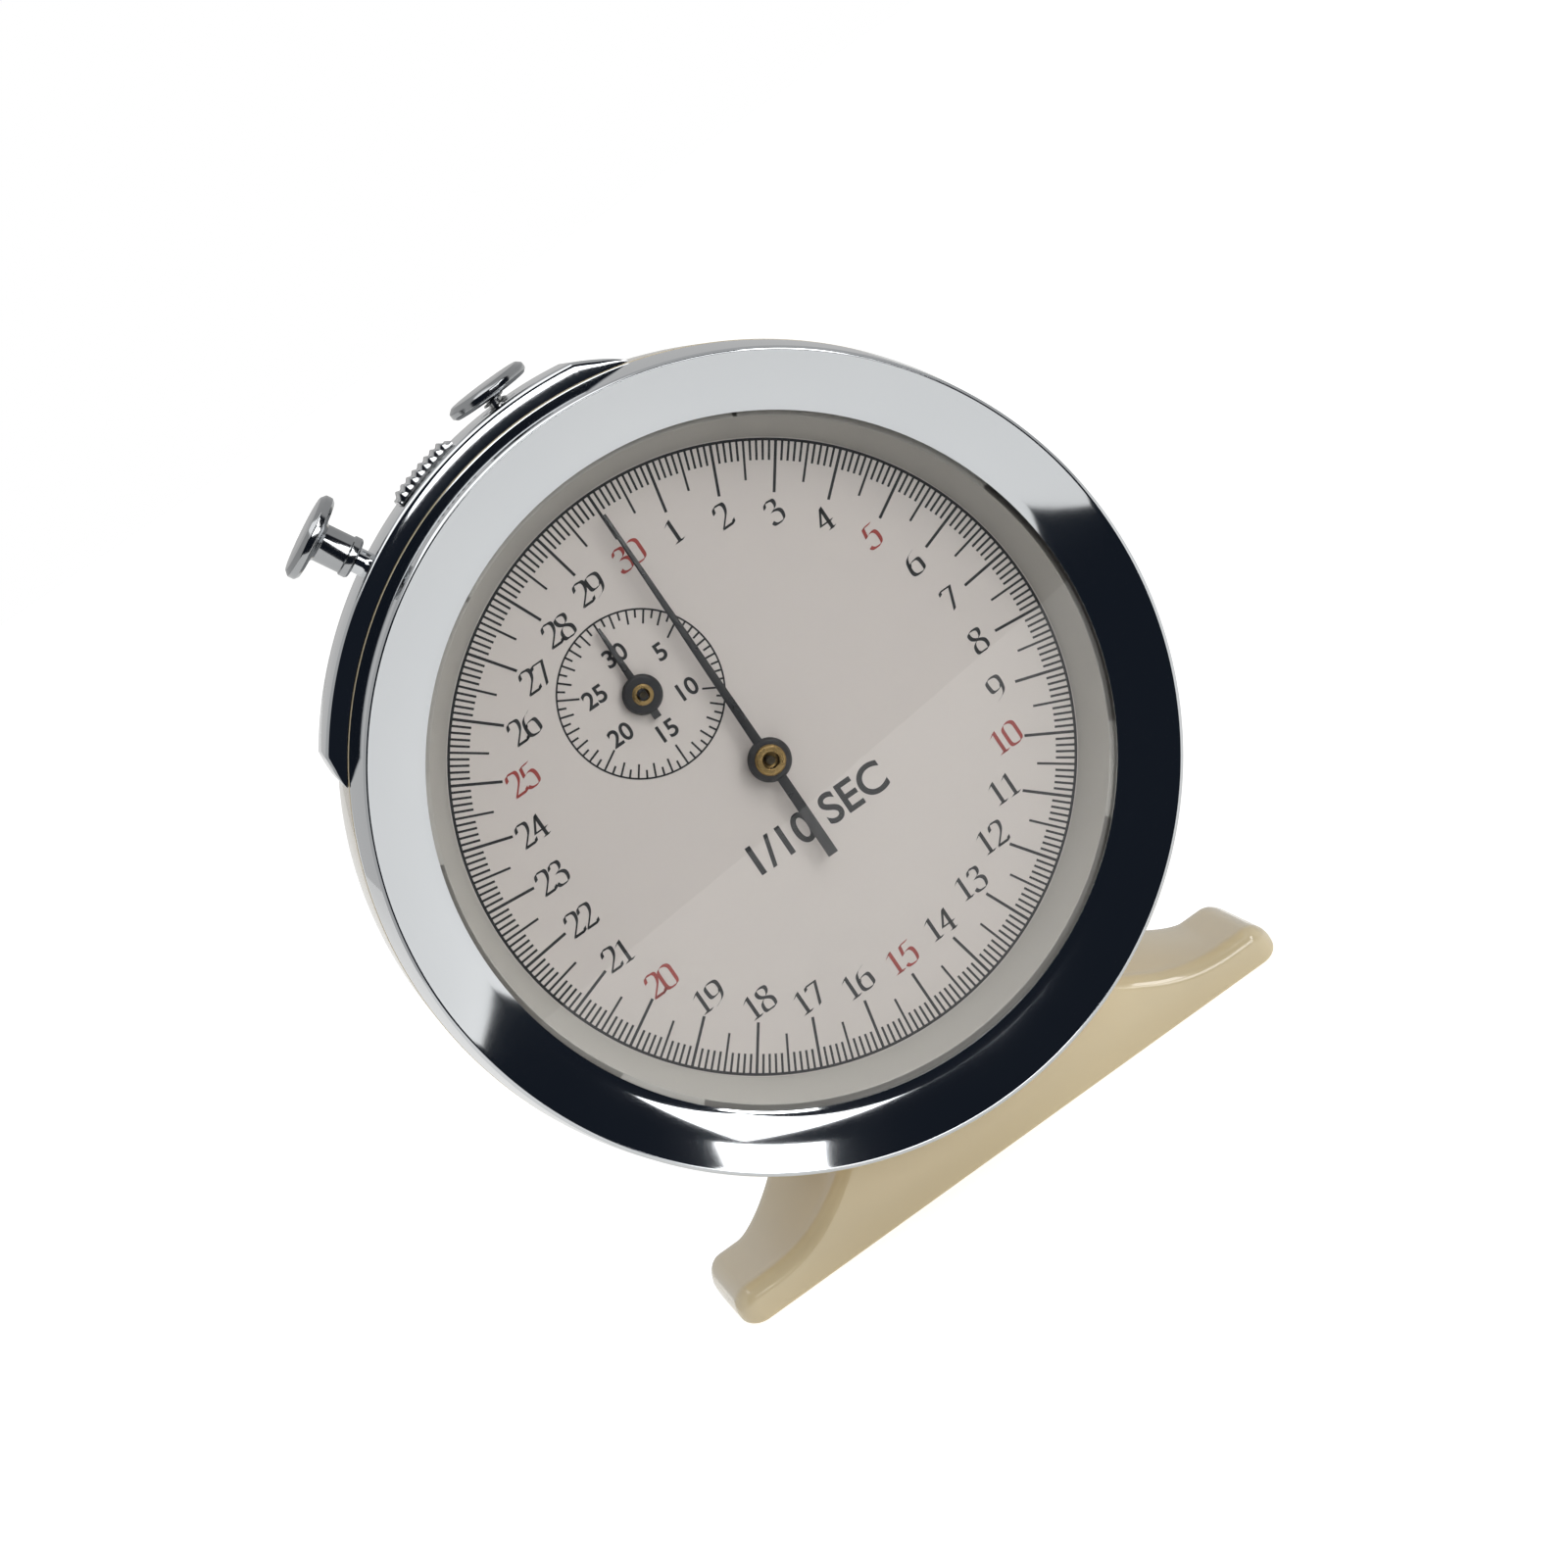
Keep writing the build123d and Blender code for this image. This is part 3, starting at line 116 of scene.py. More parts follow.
def makeMottleGroup():
    # slow and fine unevenness of a finish: a colour, a roughness and a height from one place
    group = bpy.data.node_groups.new("mottle", "ShaderNodeTree")
    face = group.interface
    face.new_socket("Vector", in_out="INPUT", socket_type="NodeSocketVector")
    face.new_socket("Light", in_out="INPUT", socket_type="NodeSocketColor")
    face.new_socket("Dark", in_out="INPUT", socket_type="NodeSocketColor")
    for name, value in (("Patch Scale", 60.0), ("Grain Scale", 900.0), ("Smooth", 0.2), ("Rough", 0.4)):
        face.new_socket(name, in_out="INPUT", socket_type="NodeSocketFloat").default_value = value
    face.new_socket("Color", in_out="OUTPUT", socket_type="NodeSocketColor")
    face.new_socket("Roughness", in_out="OUTPUT", socket_type="NodeSocketFloat")
    face.new_socket("Height", in_out="OUTPUT", socket_type="NodeSocketFloat")
    given = node(group, "NodeGroupInput")
    result = node(group, "NodeGroupOutput")
    patches = node(group, "ShaderNodeTexNoise")
    grain = node(group, "ShaderNodeTexNoise")
    patches.inputs["Detail"].default_value = 5.0
    grain.inputs["Detail"].default_value = 3.0
    colour = node(group, "ShaderNodeMix", data_type="RGBA")
    roughness = node(group, "ShaderNodeMapRange")
    height = node(group, "ShaderNodeMath", operation="MULTIPLY_ADD")
    height.inputs[1].default_value = 0.35
    link = group.links.new
    link(given.outputs["Vector"], patches.inputs["Vector"])
    link(given.outputs["Vector"], grain.inputs["Vector"])
    link(given.outputs["Patch Scale"], patches.inputs["Scale"])
    link(given.outputs["Grain Scale"], grain.inputs["Scale"])
    link(patches.outputs["Fac"], colour.inputs["Factor"])
    link(given.outputs["Dark"], colour.inputs["A"])
    link(given.outputs["Light"], colour.inputs["B"])
    link(patches.outputs["Fac"], roughness.inputs["Value"])
    roughness.inputs["From Min"].default_value = 0.3
    roughness.inputs["From Max"].default_value = 0.7
    link(given.outputs["Smooth"], roughness.inputs["To Min"])
    link(given.outputs["Rough"], roughness.inputs["To Max"])
    link(grain.outputs["Fac"], height.inputs[0])
    link(patches.outputs["Fac"], height.inputs[2])
    link(colour.outputs["Result"], result.inputs["Color"])
    link(roughness.outputs["Result"], result.inputs["Roughness"])
    link(height.outputs["Value"], result.inputs["Height"])
    return group


mottle = makeMottleGroup()


def finishOf(name, light, dark, patch=60.0, grain=900.0, smooth=0.2, rough=0.4, metallic=0.0,
             bump=0.02, reach=0.00005, coat=0.0, coatRoughness=0.05):
    material, tree, shader = newMaterial(name)
    place = node(tree, "ShaderNodeTexCoord")
    group = node(tree, "ShaderNodeGroup", node_tree=mottle)
    raised = node(tree, "ShaderNodeBump")
    group.inputs["Light"].default_value = (*light, 1)
    group.inputs["Dark"].default_value = (*dark, 1)
    group.inputs["Patch Scale"].default_value = patch
    group.inputs["Grain Scale"].default_value = grain
    group.inputs["Smooth"].default_value = smooth
    group.inputs["Rough"].default_value = rough
    raised.inputs["Strength"].default_value = bump
    raised.inputs["Distance"].default_value = reach
    tree.links.new(place.outputs["Object"], group.inputs["Vector"])
    tree.links.new(group.outputs["Color"], shader.inputs["Base Color"])
    tree.links.new(group.outputs["Roughness"], shader.inputs["Roughness"])
    tree.links.new(group.outputs["Height"], raised.inputs["Height"])
    tree.links.new(raised.outputs["Normal"], shader.inputs["Normal"])
    shader.inputs["Metallic"].default_value = metallic
    shader.inputs["Coat Weight"].default_value = coat
    shader.inputs["Coat Roughness"].default_value = coatRoughness
    return material


def makeGlass():
    # light from lamps passes straight through, so that the dial behind isn't left in the dark
    material, tree, shader = newMaterial("watchGlass")
    shader.inputs["Base Color"].default_value = (0.985, 0.99, 0.985, 1)
    shader.inputs["Roughness"].default_value = 0.0
    shader.inputs["IOR"].default_value = 1.46
    shader.inputs["Transmission Weight"].default_value = 1.0
    clear = node(tree, "ShaderNodeBsdfTransparent")
    path = node(tree, "ShaderNodeLightPath")
    mix = node(tree, "ShaderNodeMixShader")
    tree.links.new(path.outputs["Is Shadow Ray"], mix.inputs[0])
    tree.links.new(shader.outputs["BSDF"], mix.inputs[1])
    tree.links.new(clear.outputs["BSDF"], mix.inputs[2])
    tree.links.new(mix.outputs["Shader"], tree.nodes["Material Output"].inputs["Surface"])
    return material


creamPlastic = finishOf("creamPlastic", (0.80, 0.69, 0.46), (0.72, 0.59, 0.37), patch=25, grain=700,
                        smooth=0.14, rough=0.24, bump=0.05, coat=0.9, coatRoughness=0.04)
brightChrome = finishOf("brightChrome", (0.64, 0.655, 0.67), (0.60, 0.62, 0.64), patch=40, grain=500,
                        smooth=0.03, rough=0.07, metallic=1.0, bump=0.03)
# a darker copy of bright chrome for the crown, reset cap and slide: painted shade standing in for the dark
# room that these knobs reflect
paintedShadeKnobChrome = finishOf("paintedShadeKnobChrome", (0.46, 0.47, 0.48), (0.34, 0.35, 0.36), patch=150, grain=1200,
                      smooth=0.05, rough=0.14, metallic=1.0, bump=0.05)
brushedCover = finishOf("brushedCover", (0.62, 0.63, 0.64), (0.52, 0.53, 0.55), patch=90, grain=1800,
                        smooth=0.2, rough=0.34, metallic=1.0, bump=0.12)
dialPaint = finishOf("dialPaint", (0.665, 0.612, 0.578), (0.62, 0.575, 0.545), patch=35, grain=1500,
                     smooth=0.5, rough=0.62, bump=0.06)
rehautPaint = finishOf("rehautPaint", (0.51, 0.49, 0.455), (0.45, 0.435, 0.40), patch=30, grain=800,
                       smooth=0.42, rough=0.55, bump=0.05)
blackInk = finishOf("blackInk", (0.018, 0.018, 0.02), (0.010, 0.010, 0.012), patch=400, grain=3000,
                    smooth=0.35, rough=0.5, bump=0.05)
redInk = finishOf("redInk", (0.36, 0.045, 0.035), (0.28, 0.035, 0.03), patch=400, grain=3000,
                  smooth=0.4, rough=0.55, bump=0.05)
handBlack = finishOf("handBlack", (0.02, 0.02, 0.022), (0.012, 0.012, 0.014), patch=200, grain=2500,
                     smooth=0.25, rough=0.4, bump=0.06, coat=0.3, coatRoughness=0.2)
gildedBrass = finishOf("gildedBrass", (0.46, 0.32, 0.14), (0.33, 0.22, 0.09), patch=200, grain=2500,
                       smooth=0.18, rough=0.34, metallic=1.0, bump=0.08)
polishedSteel = finishOf("polishedSteel", (0.56, 0.56, 0.55), (0.45, 0.45, 0.45), patch=220, grain=2500,
                         smooth=0.14, rough=0.28, metallic=1.0, bump=0.06)
bluedSteel = finishOf("bluedSteel", (0.10, 0.13, 0.32), (0.06, 0.08, 0.2), patch=300, grain=2500,
                      smooth=0.18, rough=0.3, metallic=1.0, bump=0.05)
# near-black steel for the arbor tips: painted shade standing in for the dark hole in each collet
paintedShadeArborSteel = finishOf("paintedShadeArborSteel", (0.10, 0.085, 0.06), (0.05, 0.042, 0.03), patch=300, grain=2500,
                     smooth=0.3, rough=0.5, metallic=1.0, bump=0.08)
sealRubber = finishOf("sealRubber", (0.03, 0.03, 0.03), (0.018, 0.018, 0.018), patch=150, grain=1500,
                      smooth=0.6, rough=0.8, bump=0.15)
watchGlass = makeGlass()
print("materials made")

# what each carried-over CAD node is finished in, by the record's slot
finishBySlot = {"cream_plastic": creamPlastic, "bright_chrome": brightChrome, "polished_steel": polishedSteel,
                "spring_steel": bluedSteel, "brass": gildedBrass, "dial_enamel": dialPaint,
                "rehaut_enamel": rehautPaint, "black_enamel": handBlack, "clear_glass": watchGlass,
                "seal_rubber": sealRubber}
slotByNode = {part["node"]: part["material_slot"] for part in frame["record"]["subparts"]}
for nodeName, cadNode in frame["nodes"].items():
    finish = finishBySlot[slotByNode[nodeName]]
    # the arbor tips are painted near black, as painted shade for the hole in each collet
    if nodeName in ("sweep_arbor", "minute_arbor"):
        finish = paintedShadeArborSteel
    for slot in cadNode.material_slots:
        slot.material = finish


# helpers that shape pieces
def smoothByAngle(piece, angle):
    take(piece)
    bpy.ops.object.shade_smooth_by_angle(angle=math.radians(angle))


def closeEnds(piece):
    # open ends are filled, and all faces turned outwards
    take(piece)
    bpy.ops.object.mode_set(mode="EDIT")
    bpy.ops.mesh.select_all(action="DESELECT")
    bpy.ops.mesh.select_non_manifold()
    bpy.ops.mesh.fill_holes(sides=0)
    bpy.ops.mesh.select_all(action="SELECT")
    bpy.ops.mesh.normals_make_consistent(inside=False)
    bpy.ops.object.mode_set(mode="OBJECT")


def roundedOutline(points, closed):
    # points are (radius, height, rounding); each rounded corner becomes a short curve
    shaped = []
    count = len(points)
    for index, (x, y, soft) in enumerate(points):
        ends = not closed and index in (0, count - 1)
        if soft <= 0 or ends:
            shaped.append((x, y))
            continue
        corner = Vector((x, y))
        before = Vector(points[index - 1][:2]) - corner
        after = Vector(points[(index + 1) % count][:2]) - corner
        half = before.angle(after) / 2
        cut = min(soft / math.tan(half), before.length * 0.49, after.length * 0.49)
        start = corner + before.normalized() * cut
        finish = corner + after.normalized() * cut
        for step in range(6):
            share = step / 5
            bend = start * (1 - share) ** 2 + corner * 2 * share * (1 - share) + finish * share**2
            shaped.append((bend.x, bend.y))
    return shaped


def turnOnLathe(name, points, closed, segments=192, smoothAngle=35):
    # a ring is drawn out step by step along its outline, about local Z
    outline = roundedOutline(points, closed)
    clearSelection()
    radius, height = outline[0]
    bpy.ops.mesh.primitive_circle_add(vertices=segments, radius=radius * mm, location=(0, 0, height * mm))
    piece = bpy.context.object
    piece.name = name
    bpy.ops.object.transform_apply(location=True, rotation=True, scale=True)
    bpy.ops.object.mode_set(mode="EDIT")
    bpy.ops.mesh.select_all(action="SELECT")
    for (oldRadius, oldHeight), (newRadius, newHeight) in zip(outline, outline[1:]):
        grow = newRadius / oldRadius
        rise = (newHeight - oldHeight) * mm
        bpy.ops.mesh.extrude_region_move(TRANSFORM_OT_translate={"value": (0, 0, rise)})
        bpy.ops.transform.resize(value=(grow, grow, 1), center_override=(0, 0, 0))
    bpy.ops.mesh.select_all(action="DESELECT")
    bpy.ops.mesh.select_non_manifold()
    if closed:
        bpy.ops.mesh.bridge_edge_loops()
    else:
        bpy.ops.mesh.select_all(action="SELECT")
        bpy.ops.mesh.fill_holes(sides=0)
    bpy.ops.mesh.select_all(action="SELECT")
    bpy.ops.mesh.normals_make_consistent(inside=False)
    bpy.ops.object.mode_set(mode="OBJECT")
    smoothByAngle(piece, smoothAngle)
    return piece


def carrySection(name, columns, sectionCount, pointAt):
    # one closed section is carried along a piece: a flat grid is wrapped, merged along its seam and capped
    clearSelection()
    bpy.ops.mesh.primitive_grid_add(x_subdivisions=columns, y_subdivisions=sectionCount - 1, size=2)
    piece = bpy.context.object
    piece.name = name
    for vertex in piece.data.vertices:
        index = round((vertex.co.y + 1) / 2 * (sectionCount - 1))
        vertex.co = pointAt((vertex.co.x + 1) / 2, index)
    take(piece)
    bpy.ops.object.mode_set(mode="EDIT")
    bpy.ops.mesh.select_all(action="SELECT")
    bpy.ops.mesh.remove_doubles(threshold=0.01 * mm)
    bpy.ops.object.mode_set(mode="OBJECT")
    closeEnds(piece)
    smoothByAngle(piece, 40)
    return piece


def blockSection(index, inner, outer, front, back, soft, steps):
    # radius and depth of a point on a block with two rounded outer edges
    rounds = steps + 1
    if index < 1 or index >= 2 * rounds + 3:
        return inner, front
    index -= 1
    if index < rounds:
        bend = math.radians(90 * index / steps)
        return outer - soft + soft * math.sin(bend), front + soft - soft * math.cos(bend)
    index -= rounds
    if index < 1:
        return outer, (front + back) / 2
    index -= 1
    if index < rounds:
        bend = math.radians(90 * index / steps)
        return outer - soft + soft * math.cos(bend), back - soft + soft * math.sin(bend)
    return inner, back


def faceReader(piece, across=0.0, up=0.0):
    # local X, Y and Z become right, up and towards the reader, from a place on the dial
    piece.rotation_euler = (math.radians(90), 0, 0)
    piece.location = dialCentre + Vector((across * mm, 0, up * mm))
    applyPlace(piece)


def standOnRim(piece, angle, depth):
    # local Z becomes the line outward through the dial's centre
    piece.rotation_euler = (0, math.radians(90 - angle), 0)
    piece.location = dialCentre + Vector((0, depth * mm, 0))
    applyPlace(piece)


def finishPiece(piece, material, body, slot, *stands):
    piece.data.materials.clear()
    piece.data.materials.append(material)
    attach(piece, body)
    if stands:
        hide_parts(*stands)


def joinPieces(name, pieces):
    clearSelection()
    for piece in pieces:
        piece.select_set(True)
    bpy.context.view_layer.objects.active = pieces[0]
    bpy.ops.object.join()
    joined = bpy.context.object
    joined.name = name
    return joined


# case, bezel and glass: heights are towards the reader from the dial's face
bezelShape = {"frontRadius": 59.2, "frontHeight": 12.4, "innerRadius": 50.3, "innerHeight": 9.0,
              "skirtRadius": 60.5, "skirtHeight": 0.85, "wall": 1.0, "insideRadius": 57.9,
              "innerSlope": 0.27, "dishSteps": 12, "lip": 0.3}


def makeBezel(s):
    slope = (s["frontHeight"] - s["innerHeight"]) / (s["frontRadius"] - s["innerRadius"])
    under = s["innerHeight"] - s["wall"] + slope * (s["insideRadius"] - s["innerRadius"])
    # the dish steepens towards its outer edge
    wide = s["frontRadius"] - s["lip"] - s["innerRadius"]
    high = s["frontHeight"] - s["innerHeight"]
    points = [(s["innerRadius"], s["innerHeight"] - 0.3, 0),
              (s["innerRadius"] + 0.02, s["innerHeight"] - 0.1, 0)]
    for step in range(1, s["dishSteps"]):
        reach = wide * step / s["dishSteps"]
        steeper = (high - s["innerSlope"] * wide) * (reach / wide) ** 2
        points.append((s["innerRadius"] + reach, s["innerHeight"] + s["innerSlope"] * reach + steeper, 0))
    points += [
        (s["frontRadius"] - s["lip"], s["frontHeight"], 0.35),
        (s["frontRadius"] + 0.15, s["frontHeight"] - 0.5, 0.4),
        (s["skirtRadius"] - 0.1, s["skirtHeight"] + 1.6, 0.3),
        (s["skirtRadius"], s["skirtHeight"], 0.3),
        (s["insideRadius"], s["skirtHeight"], 0.1),
        (s["insideRadius"], under, 0.3),
        (s["innerRadius"], s["innerHeight"] - s["wall"], 0.2),
    ]
    piece = turnOnLathe("bezelRing", points, True, segments=320, smoothAngle=50)
    faceReader(piece)
    finishPiece(piece, brightChrome, "case", "bright_chrome", "bezel")


caseShape = {"radius": 60.55, "wall": 3.5, "spigotRadius": 57.7, "spigotHeight": 5.0, "straightDepth": 17.0,
             "backDepth": 31.0, "shoulderRadius": 48.0, "openingRadius": 40.1, "flange": 3.0,
             "frontStep": 0.8, "backSteps": 20}


def makeCase(s):
    points = [
        (s["spigotRadius"] - 0.7, s["spigotHeight"], 0.1),
        (s["spigotRadius"], s["spigotHeight"], 0.1),
        (s["spigotRadius"], s["frontStep"], 0),
        (s["radius"], s["frontStep"], 0.25),
        (s["radius"], -s["straightDepth"], 0),
    ]
    # the rounded back follows a quarter of an ellipse
    high = s["radius"] - s["shoulderRadius"]
    deep = s["backDepth"] - s["straightDepth"]
    for step in range(1, s["backSteps"]):
        bend = math.radians(90 * step / s["backSteps"])
        across = s["shoulderRadius"] + high * math.cos(bend)
        points.append((across, -s["straightDepth"] - deep * math.sin(bend), 0))
    points += [
        (s["shoulderRadius"], -s["backDepth"], 0),
        (s["openingRadius"], -s["backDepth"], 0.2),
        (s["openingRadius"], -s["backDepth"] + s["flange"], 0.2),
        (s["shoulderRadius"] - s["wall"] * 0.6, -s["backDepth"] + s["flange"], 0),
        (s["radius"] - s["wall"], -s["straightDepth"] + 1, 0),
    ]
    piece = turnOnLathe("caseShell", points, True, segments=256, smoothAngle=30)
    faceReader(piece)
    finishPiece(piece, creamPlastic, "case", "cream_plastic", "case_shell")


glassShape = {"radius": 54.0, "front": 8.0, "back": 6.6}


def makeGlassDisc(s):
    points = [(1.0, s["front"], 0), (s["radius"], s["front"], 0.2),
              (s["radius"], s["back"], 0.2), (1.0, s["back"], 0)]
    piece = turnOnLathe("glassDisc", points, False, segments=192)
    faceReader(piece)
    finishPiece(piece, watchGlass, "case", "clear_glass", "glass")


rehautShape = {"frontRadius": 49.5, "frontHeight": 6.6, "dialRadius": 46.1, "wall": 1.0, "flangeRadius": 56.5,
               "flange": 0.9}


def makeRehaut(s):
    points = [
        (s["dialRadius"], 0.0, 0.15),
        (s["frontRadius"], s["frontHeight"], 0.2),
        (s["flangeRadius"], s["frontHeight"], 0.1),
        (s["flangeRadius"], s["frontHeight"] - s["flange"], 0.1),
        (s["frontRadius"] + s["wall"], s["frontHeight"] - s["flange"], 0.1),
        (s["dialRadius"] + s["wall"], 0.0, 0.1),
    ]
    piece = turnOnLathe("rehautCone", points, True, segments=256, smoothAngle=40)
    faceReader(piece)
    finishPiece(piece, rehautPaint, "case", "rehaut_enamel", "rehaut_ring")


coverShape = {"radius": 44.9, "depth": 31.0, "thickness": 1.8, "dishRadius": 37.0, "dish": 1.2,
              "groove": 0.25}


def makeRearCover(s):
    back = -s["depth"] - s["thickness"]
    points = [
        (1.0, -s["depth"] - s["dish"], 0),
        (s["dishRadius"] - 1.0, -s["depth"] - s["dish"], 0.4),
        (s["dishRadius"] + 2.0, -s["depth"], 0.4),
        (s["radius"], -s["depth"], 0.1),
        (s["radius"], back, 0.6),
        (s["dishRadius"] + 1.5, back, 0.5),
        (s["dishRadius"], back - s["dish"], 0.5),
        (s["dishRadius"] * 0.75, back - s["dish"], 0.4),
        (s["dishRadius"] * 0.74, back - s["dish"] + s["groove"], 0.1),
        (s["dishRadius"] * 0.72, back - s["dish"] + s["groove"], 0.1),
        (s["dishRadius"] * 0.71, back - s["dish"], 0.4),
        (1.0, back - s["dish"], 0),
    ]
    piece = turnOnLathe("backCover", points, False, segments=192, smoothAngle=30)
    faceReader(piece)
    finishPiece(piece, brushedCover, "case", "bright_chrome", "rear_cover")


makeBezel(bezelShape)
makeCase(caseShape)
makeGlassDisc(glassShape)
makeRehaut(rehautShape)
makeRearCover(coverShape)
print("case, bezel and glass made")

# the dial and its print
dialShape = {"radius": 47.3, "thickness": 0.7, "arborHole": 1.6}
printShape = {"lift": 0.03, "ringRadius": 45.85, "ringWidth": 0.42, "tickWidth": 0.34, "secondWidth": 0.42,
              "tenth": 3.0, "half": 5.8, "second": 7.6, "numeralRadius": 35.4, "numeralHeight": 3.4,
              "smallAcross": -9.70, "smallUp": 18.07, "smallRadius": 12.18, "smallLine": 0.27,
              "smallFive": 3.3, "smallWhole": 2.1, "smallHalf": 1.25, "smallNumeralRadius": 6.6,
              "smallNumeralHeight": 2.65, "legendAcross": 1.0, "legendUp": -11.6, "legendWidth": 23.0,
              "legendHeight": 3.5, "smallWeight": 0.07, "legendWeight": 0.08}


def makeDial(s):
    points = [(s["arborHole"], 0.0, 0), (s["radius"], 0.0, 0.1), (s["radius"], -s["thickness"], 0.1),
              (s["arborHole"], -s["thickness"], 0)]
    piece = turnOnLathe("dialPlate", points, True, segments=192)
    faceReader(piece)
    finishPiece(piece, dialPaint, "case", "dial_enamel", "dial")


def addBar(angle, outer, length, width, lift):
    # one printed mark, pointing at the centre
    clearSelection()
    reach = outer - length / 2
    place = (reach * mm * math.cos(angle), reach * mm * math.sin(angle), 0)
    bpy.ops.mesh.primitive_cube_add(size=1, location=place, rotation=(0, 0, angle),
                                    scale=(length * mm, width * mm, lift * mm * 2))
    piece = bpy.context.object
    bpy.ops.object.transform_apply(location=True, rotation=True, scale=True)
    return piece


def spinCopies(piece, count):
    take(piece)
    bpy.ops.object.mode_set(mode="EDIT")
    bpy.ops.mesh.select_all(action="SELECT")
    bpy.ops.mesh.spin(steps=count - 1, dupli=True, angle=2 * math.pi * (count - 1) / count,
                      center=(0, 0, 0), axis=(0, 0, 1))
    bpy.ops.object.mode_set(mode="OBJECT")


def makePrintRing(name, radius, width, lift, segments=256):
    points = [(radius - width / 2, 0.0, 0), (radius - width / 2, lift, 0), (radius + width / 2, lift, 0),
              (radius + width / 2, 0.0, 0)]
    return turnOnLathe(name, points, True, segments=segments)


def makeMainMarks(s):
    marks = []
    for tick in range(10):
        angle = math.radians(90 - tick * 360 / 300)
        length, width = s["tenth"], s["tickWidth"]
        if tick == 0:
            length, width = s["second"], s["secondWidth"]
        elif tick == 5:
            length = s["half"]
        marks.append(addBar(angle, s["ringRadius"], length, width, s["lift"]))
    group = joinPieces("tenthMarks", marks)
    spinCopies(group, 30)
    ring = makePrintRing("ringLine", s["ringRadius"], s["ringWidth"], s["lift"])
    piece = joinPieces("secondsTrack", [group, ring])
    faceReader(piece)
    finishPiece(piece, blackInk, "case", "black_enamel")


def makeSmallMarks(s):
    marks = []
    for tick in range(10):
        angle = math.radians(90 - tick * 360 / 60)
        length = s["smallHalf"] if tick % 2 else s["smallWhole"]
        if tick == 0:
            length = s["smallFive"]
        marks.append(addBar(angle, s["smallRadius"], length, s["smallLine"] * 1.1, s["lift"]))
    group = joinPieces("minuteMarks", marks)
    spinCopies(group, 6)
    ring = makePrintRing("smallRingLine", s["smallRadius"], s["smallLine"], s["lift"], segments=128)
    piece = joinPieces("minutesTrack", [group, ring])
    faceReader(piece, s["smallAcross"], s["smallUp"])
    finishPiece(piece, blackInk, "case", "black_enamel")


fontSize = 1.38  # of the capitals' height


def letter(text, height, across, up, lift, weight=0.0):
    clearSelection()
    bpy.ops.object.text_add(location=(0, 0, 0))
    piece = bpy.context.object
    piece.data.body = text
    piece.data.align_x = "CENTER"
    piece.data.align_y = "CENTER"
    piece.data.size = height * mm * fontSize
    piece.data.extrude = lift * mm
    piece.data.offset = weight * mm
    bpy.ops.object.convert(target="MESH")
    piece = bpy.context.object
    piece.location = (across * mm, up * mm, 0)
    applyPlace(piece)
    return piece


# strokes of the figures on a body one unit high; a stroke marked True is curved
figureStrokes = {
    "0": [(True, [(0.28, 1.0), (0.0, 0.98), (0.0, 0.5), (0.0, 0.02), (0.28, 0.0), (0.56, 0.02), (0.56, 0.5),
                  (0.56, 0.98), (0.28, 1.0)])],
    "1": [(False, [(0.06, 0.82), (0.28, 0.98), (0.28, 0.0)]), (False, [(0.08, 0.0), (0.48, 0.0)])],
    "2": [(True, [(0.03, 0.74), (0.06, 1.02), (0.3, 1.0), (0.56, 0.98), (0.52, 0.6), (0.3, 0.34),
                  (0.02, 0.03)]),
          (False, [(0.02, 0.0), (0.54, 0.0), (0.58, 0.16)]), (False, [(0.02, 0.04), (0.52, 0.04)])],
    "3": [(True, [(0.05, 0.8), (0.1, 1.02), (0.3, 1.0), (0.54, 0.98), (0.5, 0.6), (0.22, 0.55)]),
          (True, [(0.22, 0.55), (0.62, 0.56), (0.58, 0.0), (0.28, -0.02), (0.05, 0.0), (0.02, 0.15)])],
    "4": [(False, [(0.4, 0.0), (0.4, 0.98), (0.0, 0.3), (0.58, 0.3)]), (False, [(0.26, 0.0), (0.54, 0.0)])],
    "5": [(False, [(0.54, 1.0), (0.14, 0.96), (0.08, 0.54)]),
          (True, [(0.08, 0.54), (0.2, 0.64), (0.58, 0.66), (0.58, 0.0), (0.26, -0.02), (0.05, 0.0),
                  (0.0, 0.12)])],
    "6": [(True, [(0.5, 0.99), (0.12, 0.88), (0.0, 0.5), (0.0, 0.04), (0.28, -0.02), (0.58, 0.02),
                  (0.58, 0.32), (0.54, 0.62), (0.28, 0.6), (0.08, 0.56), (0.04, 0.4)])],
    "7": [(False, [(0.0, 0.8), (0.03, 0.96), (0.54, 0.96), (0.2, 0.0)])],
    "8": [(True, [(0.28, 1.0), (0.04, 1.0), (0.04, 0.74), (0.14, 0.6), (0.44, 0.48), (0.58, 0.34),
                  (0.56, -0.02), (0.28, 0.0), (0.0, -0.02), (0.0, 0.34), (0.14, 0.48), (0.44, 0.62),
                  (0.52, 0.76), (0.52, 1.0), (0.28, 1.0)])],
    "9": [(True, [(0.06, -0.01), (0.44, 0.1), (0.56, 0.48), (0.56, 0.94), (0.28, 1.0), (-0.02, 0.96),
                  (-0.02, 0.66), (0.02, 0.36), (0.28, 0.38), (0.48, 0.42), (0.52, 0.58)])],
}
nib = {"advance": 0.67, "half": 0.28, "across": 0.16, "up": 0.07}  # a broad nib: thick stems, thin bars


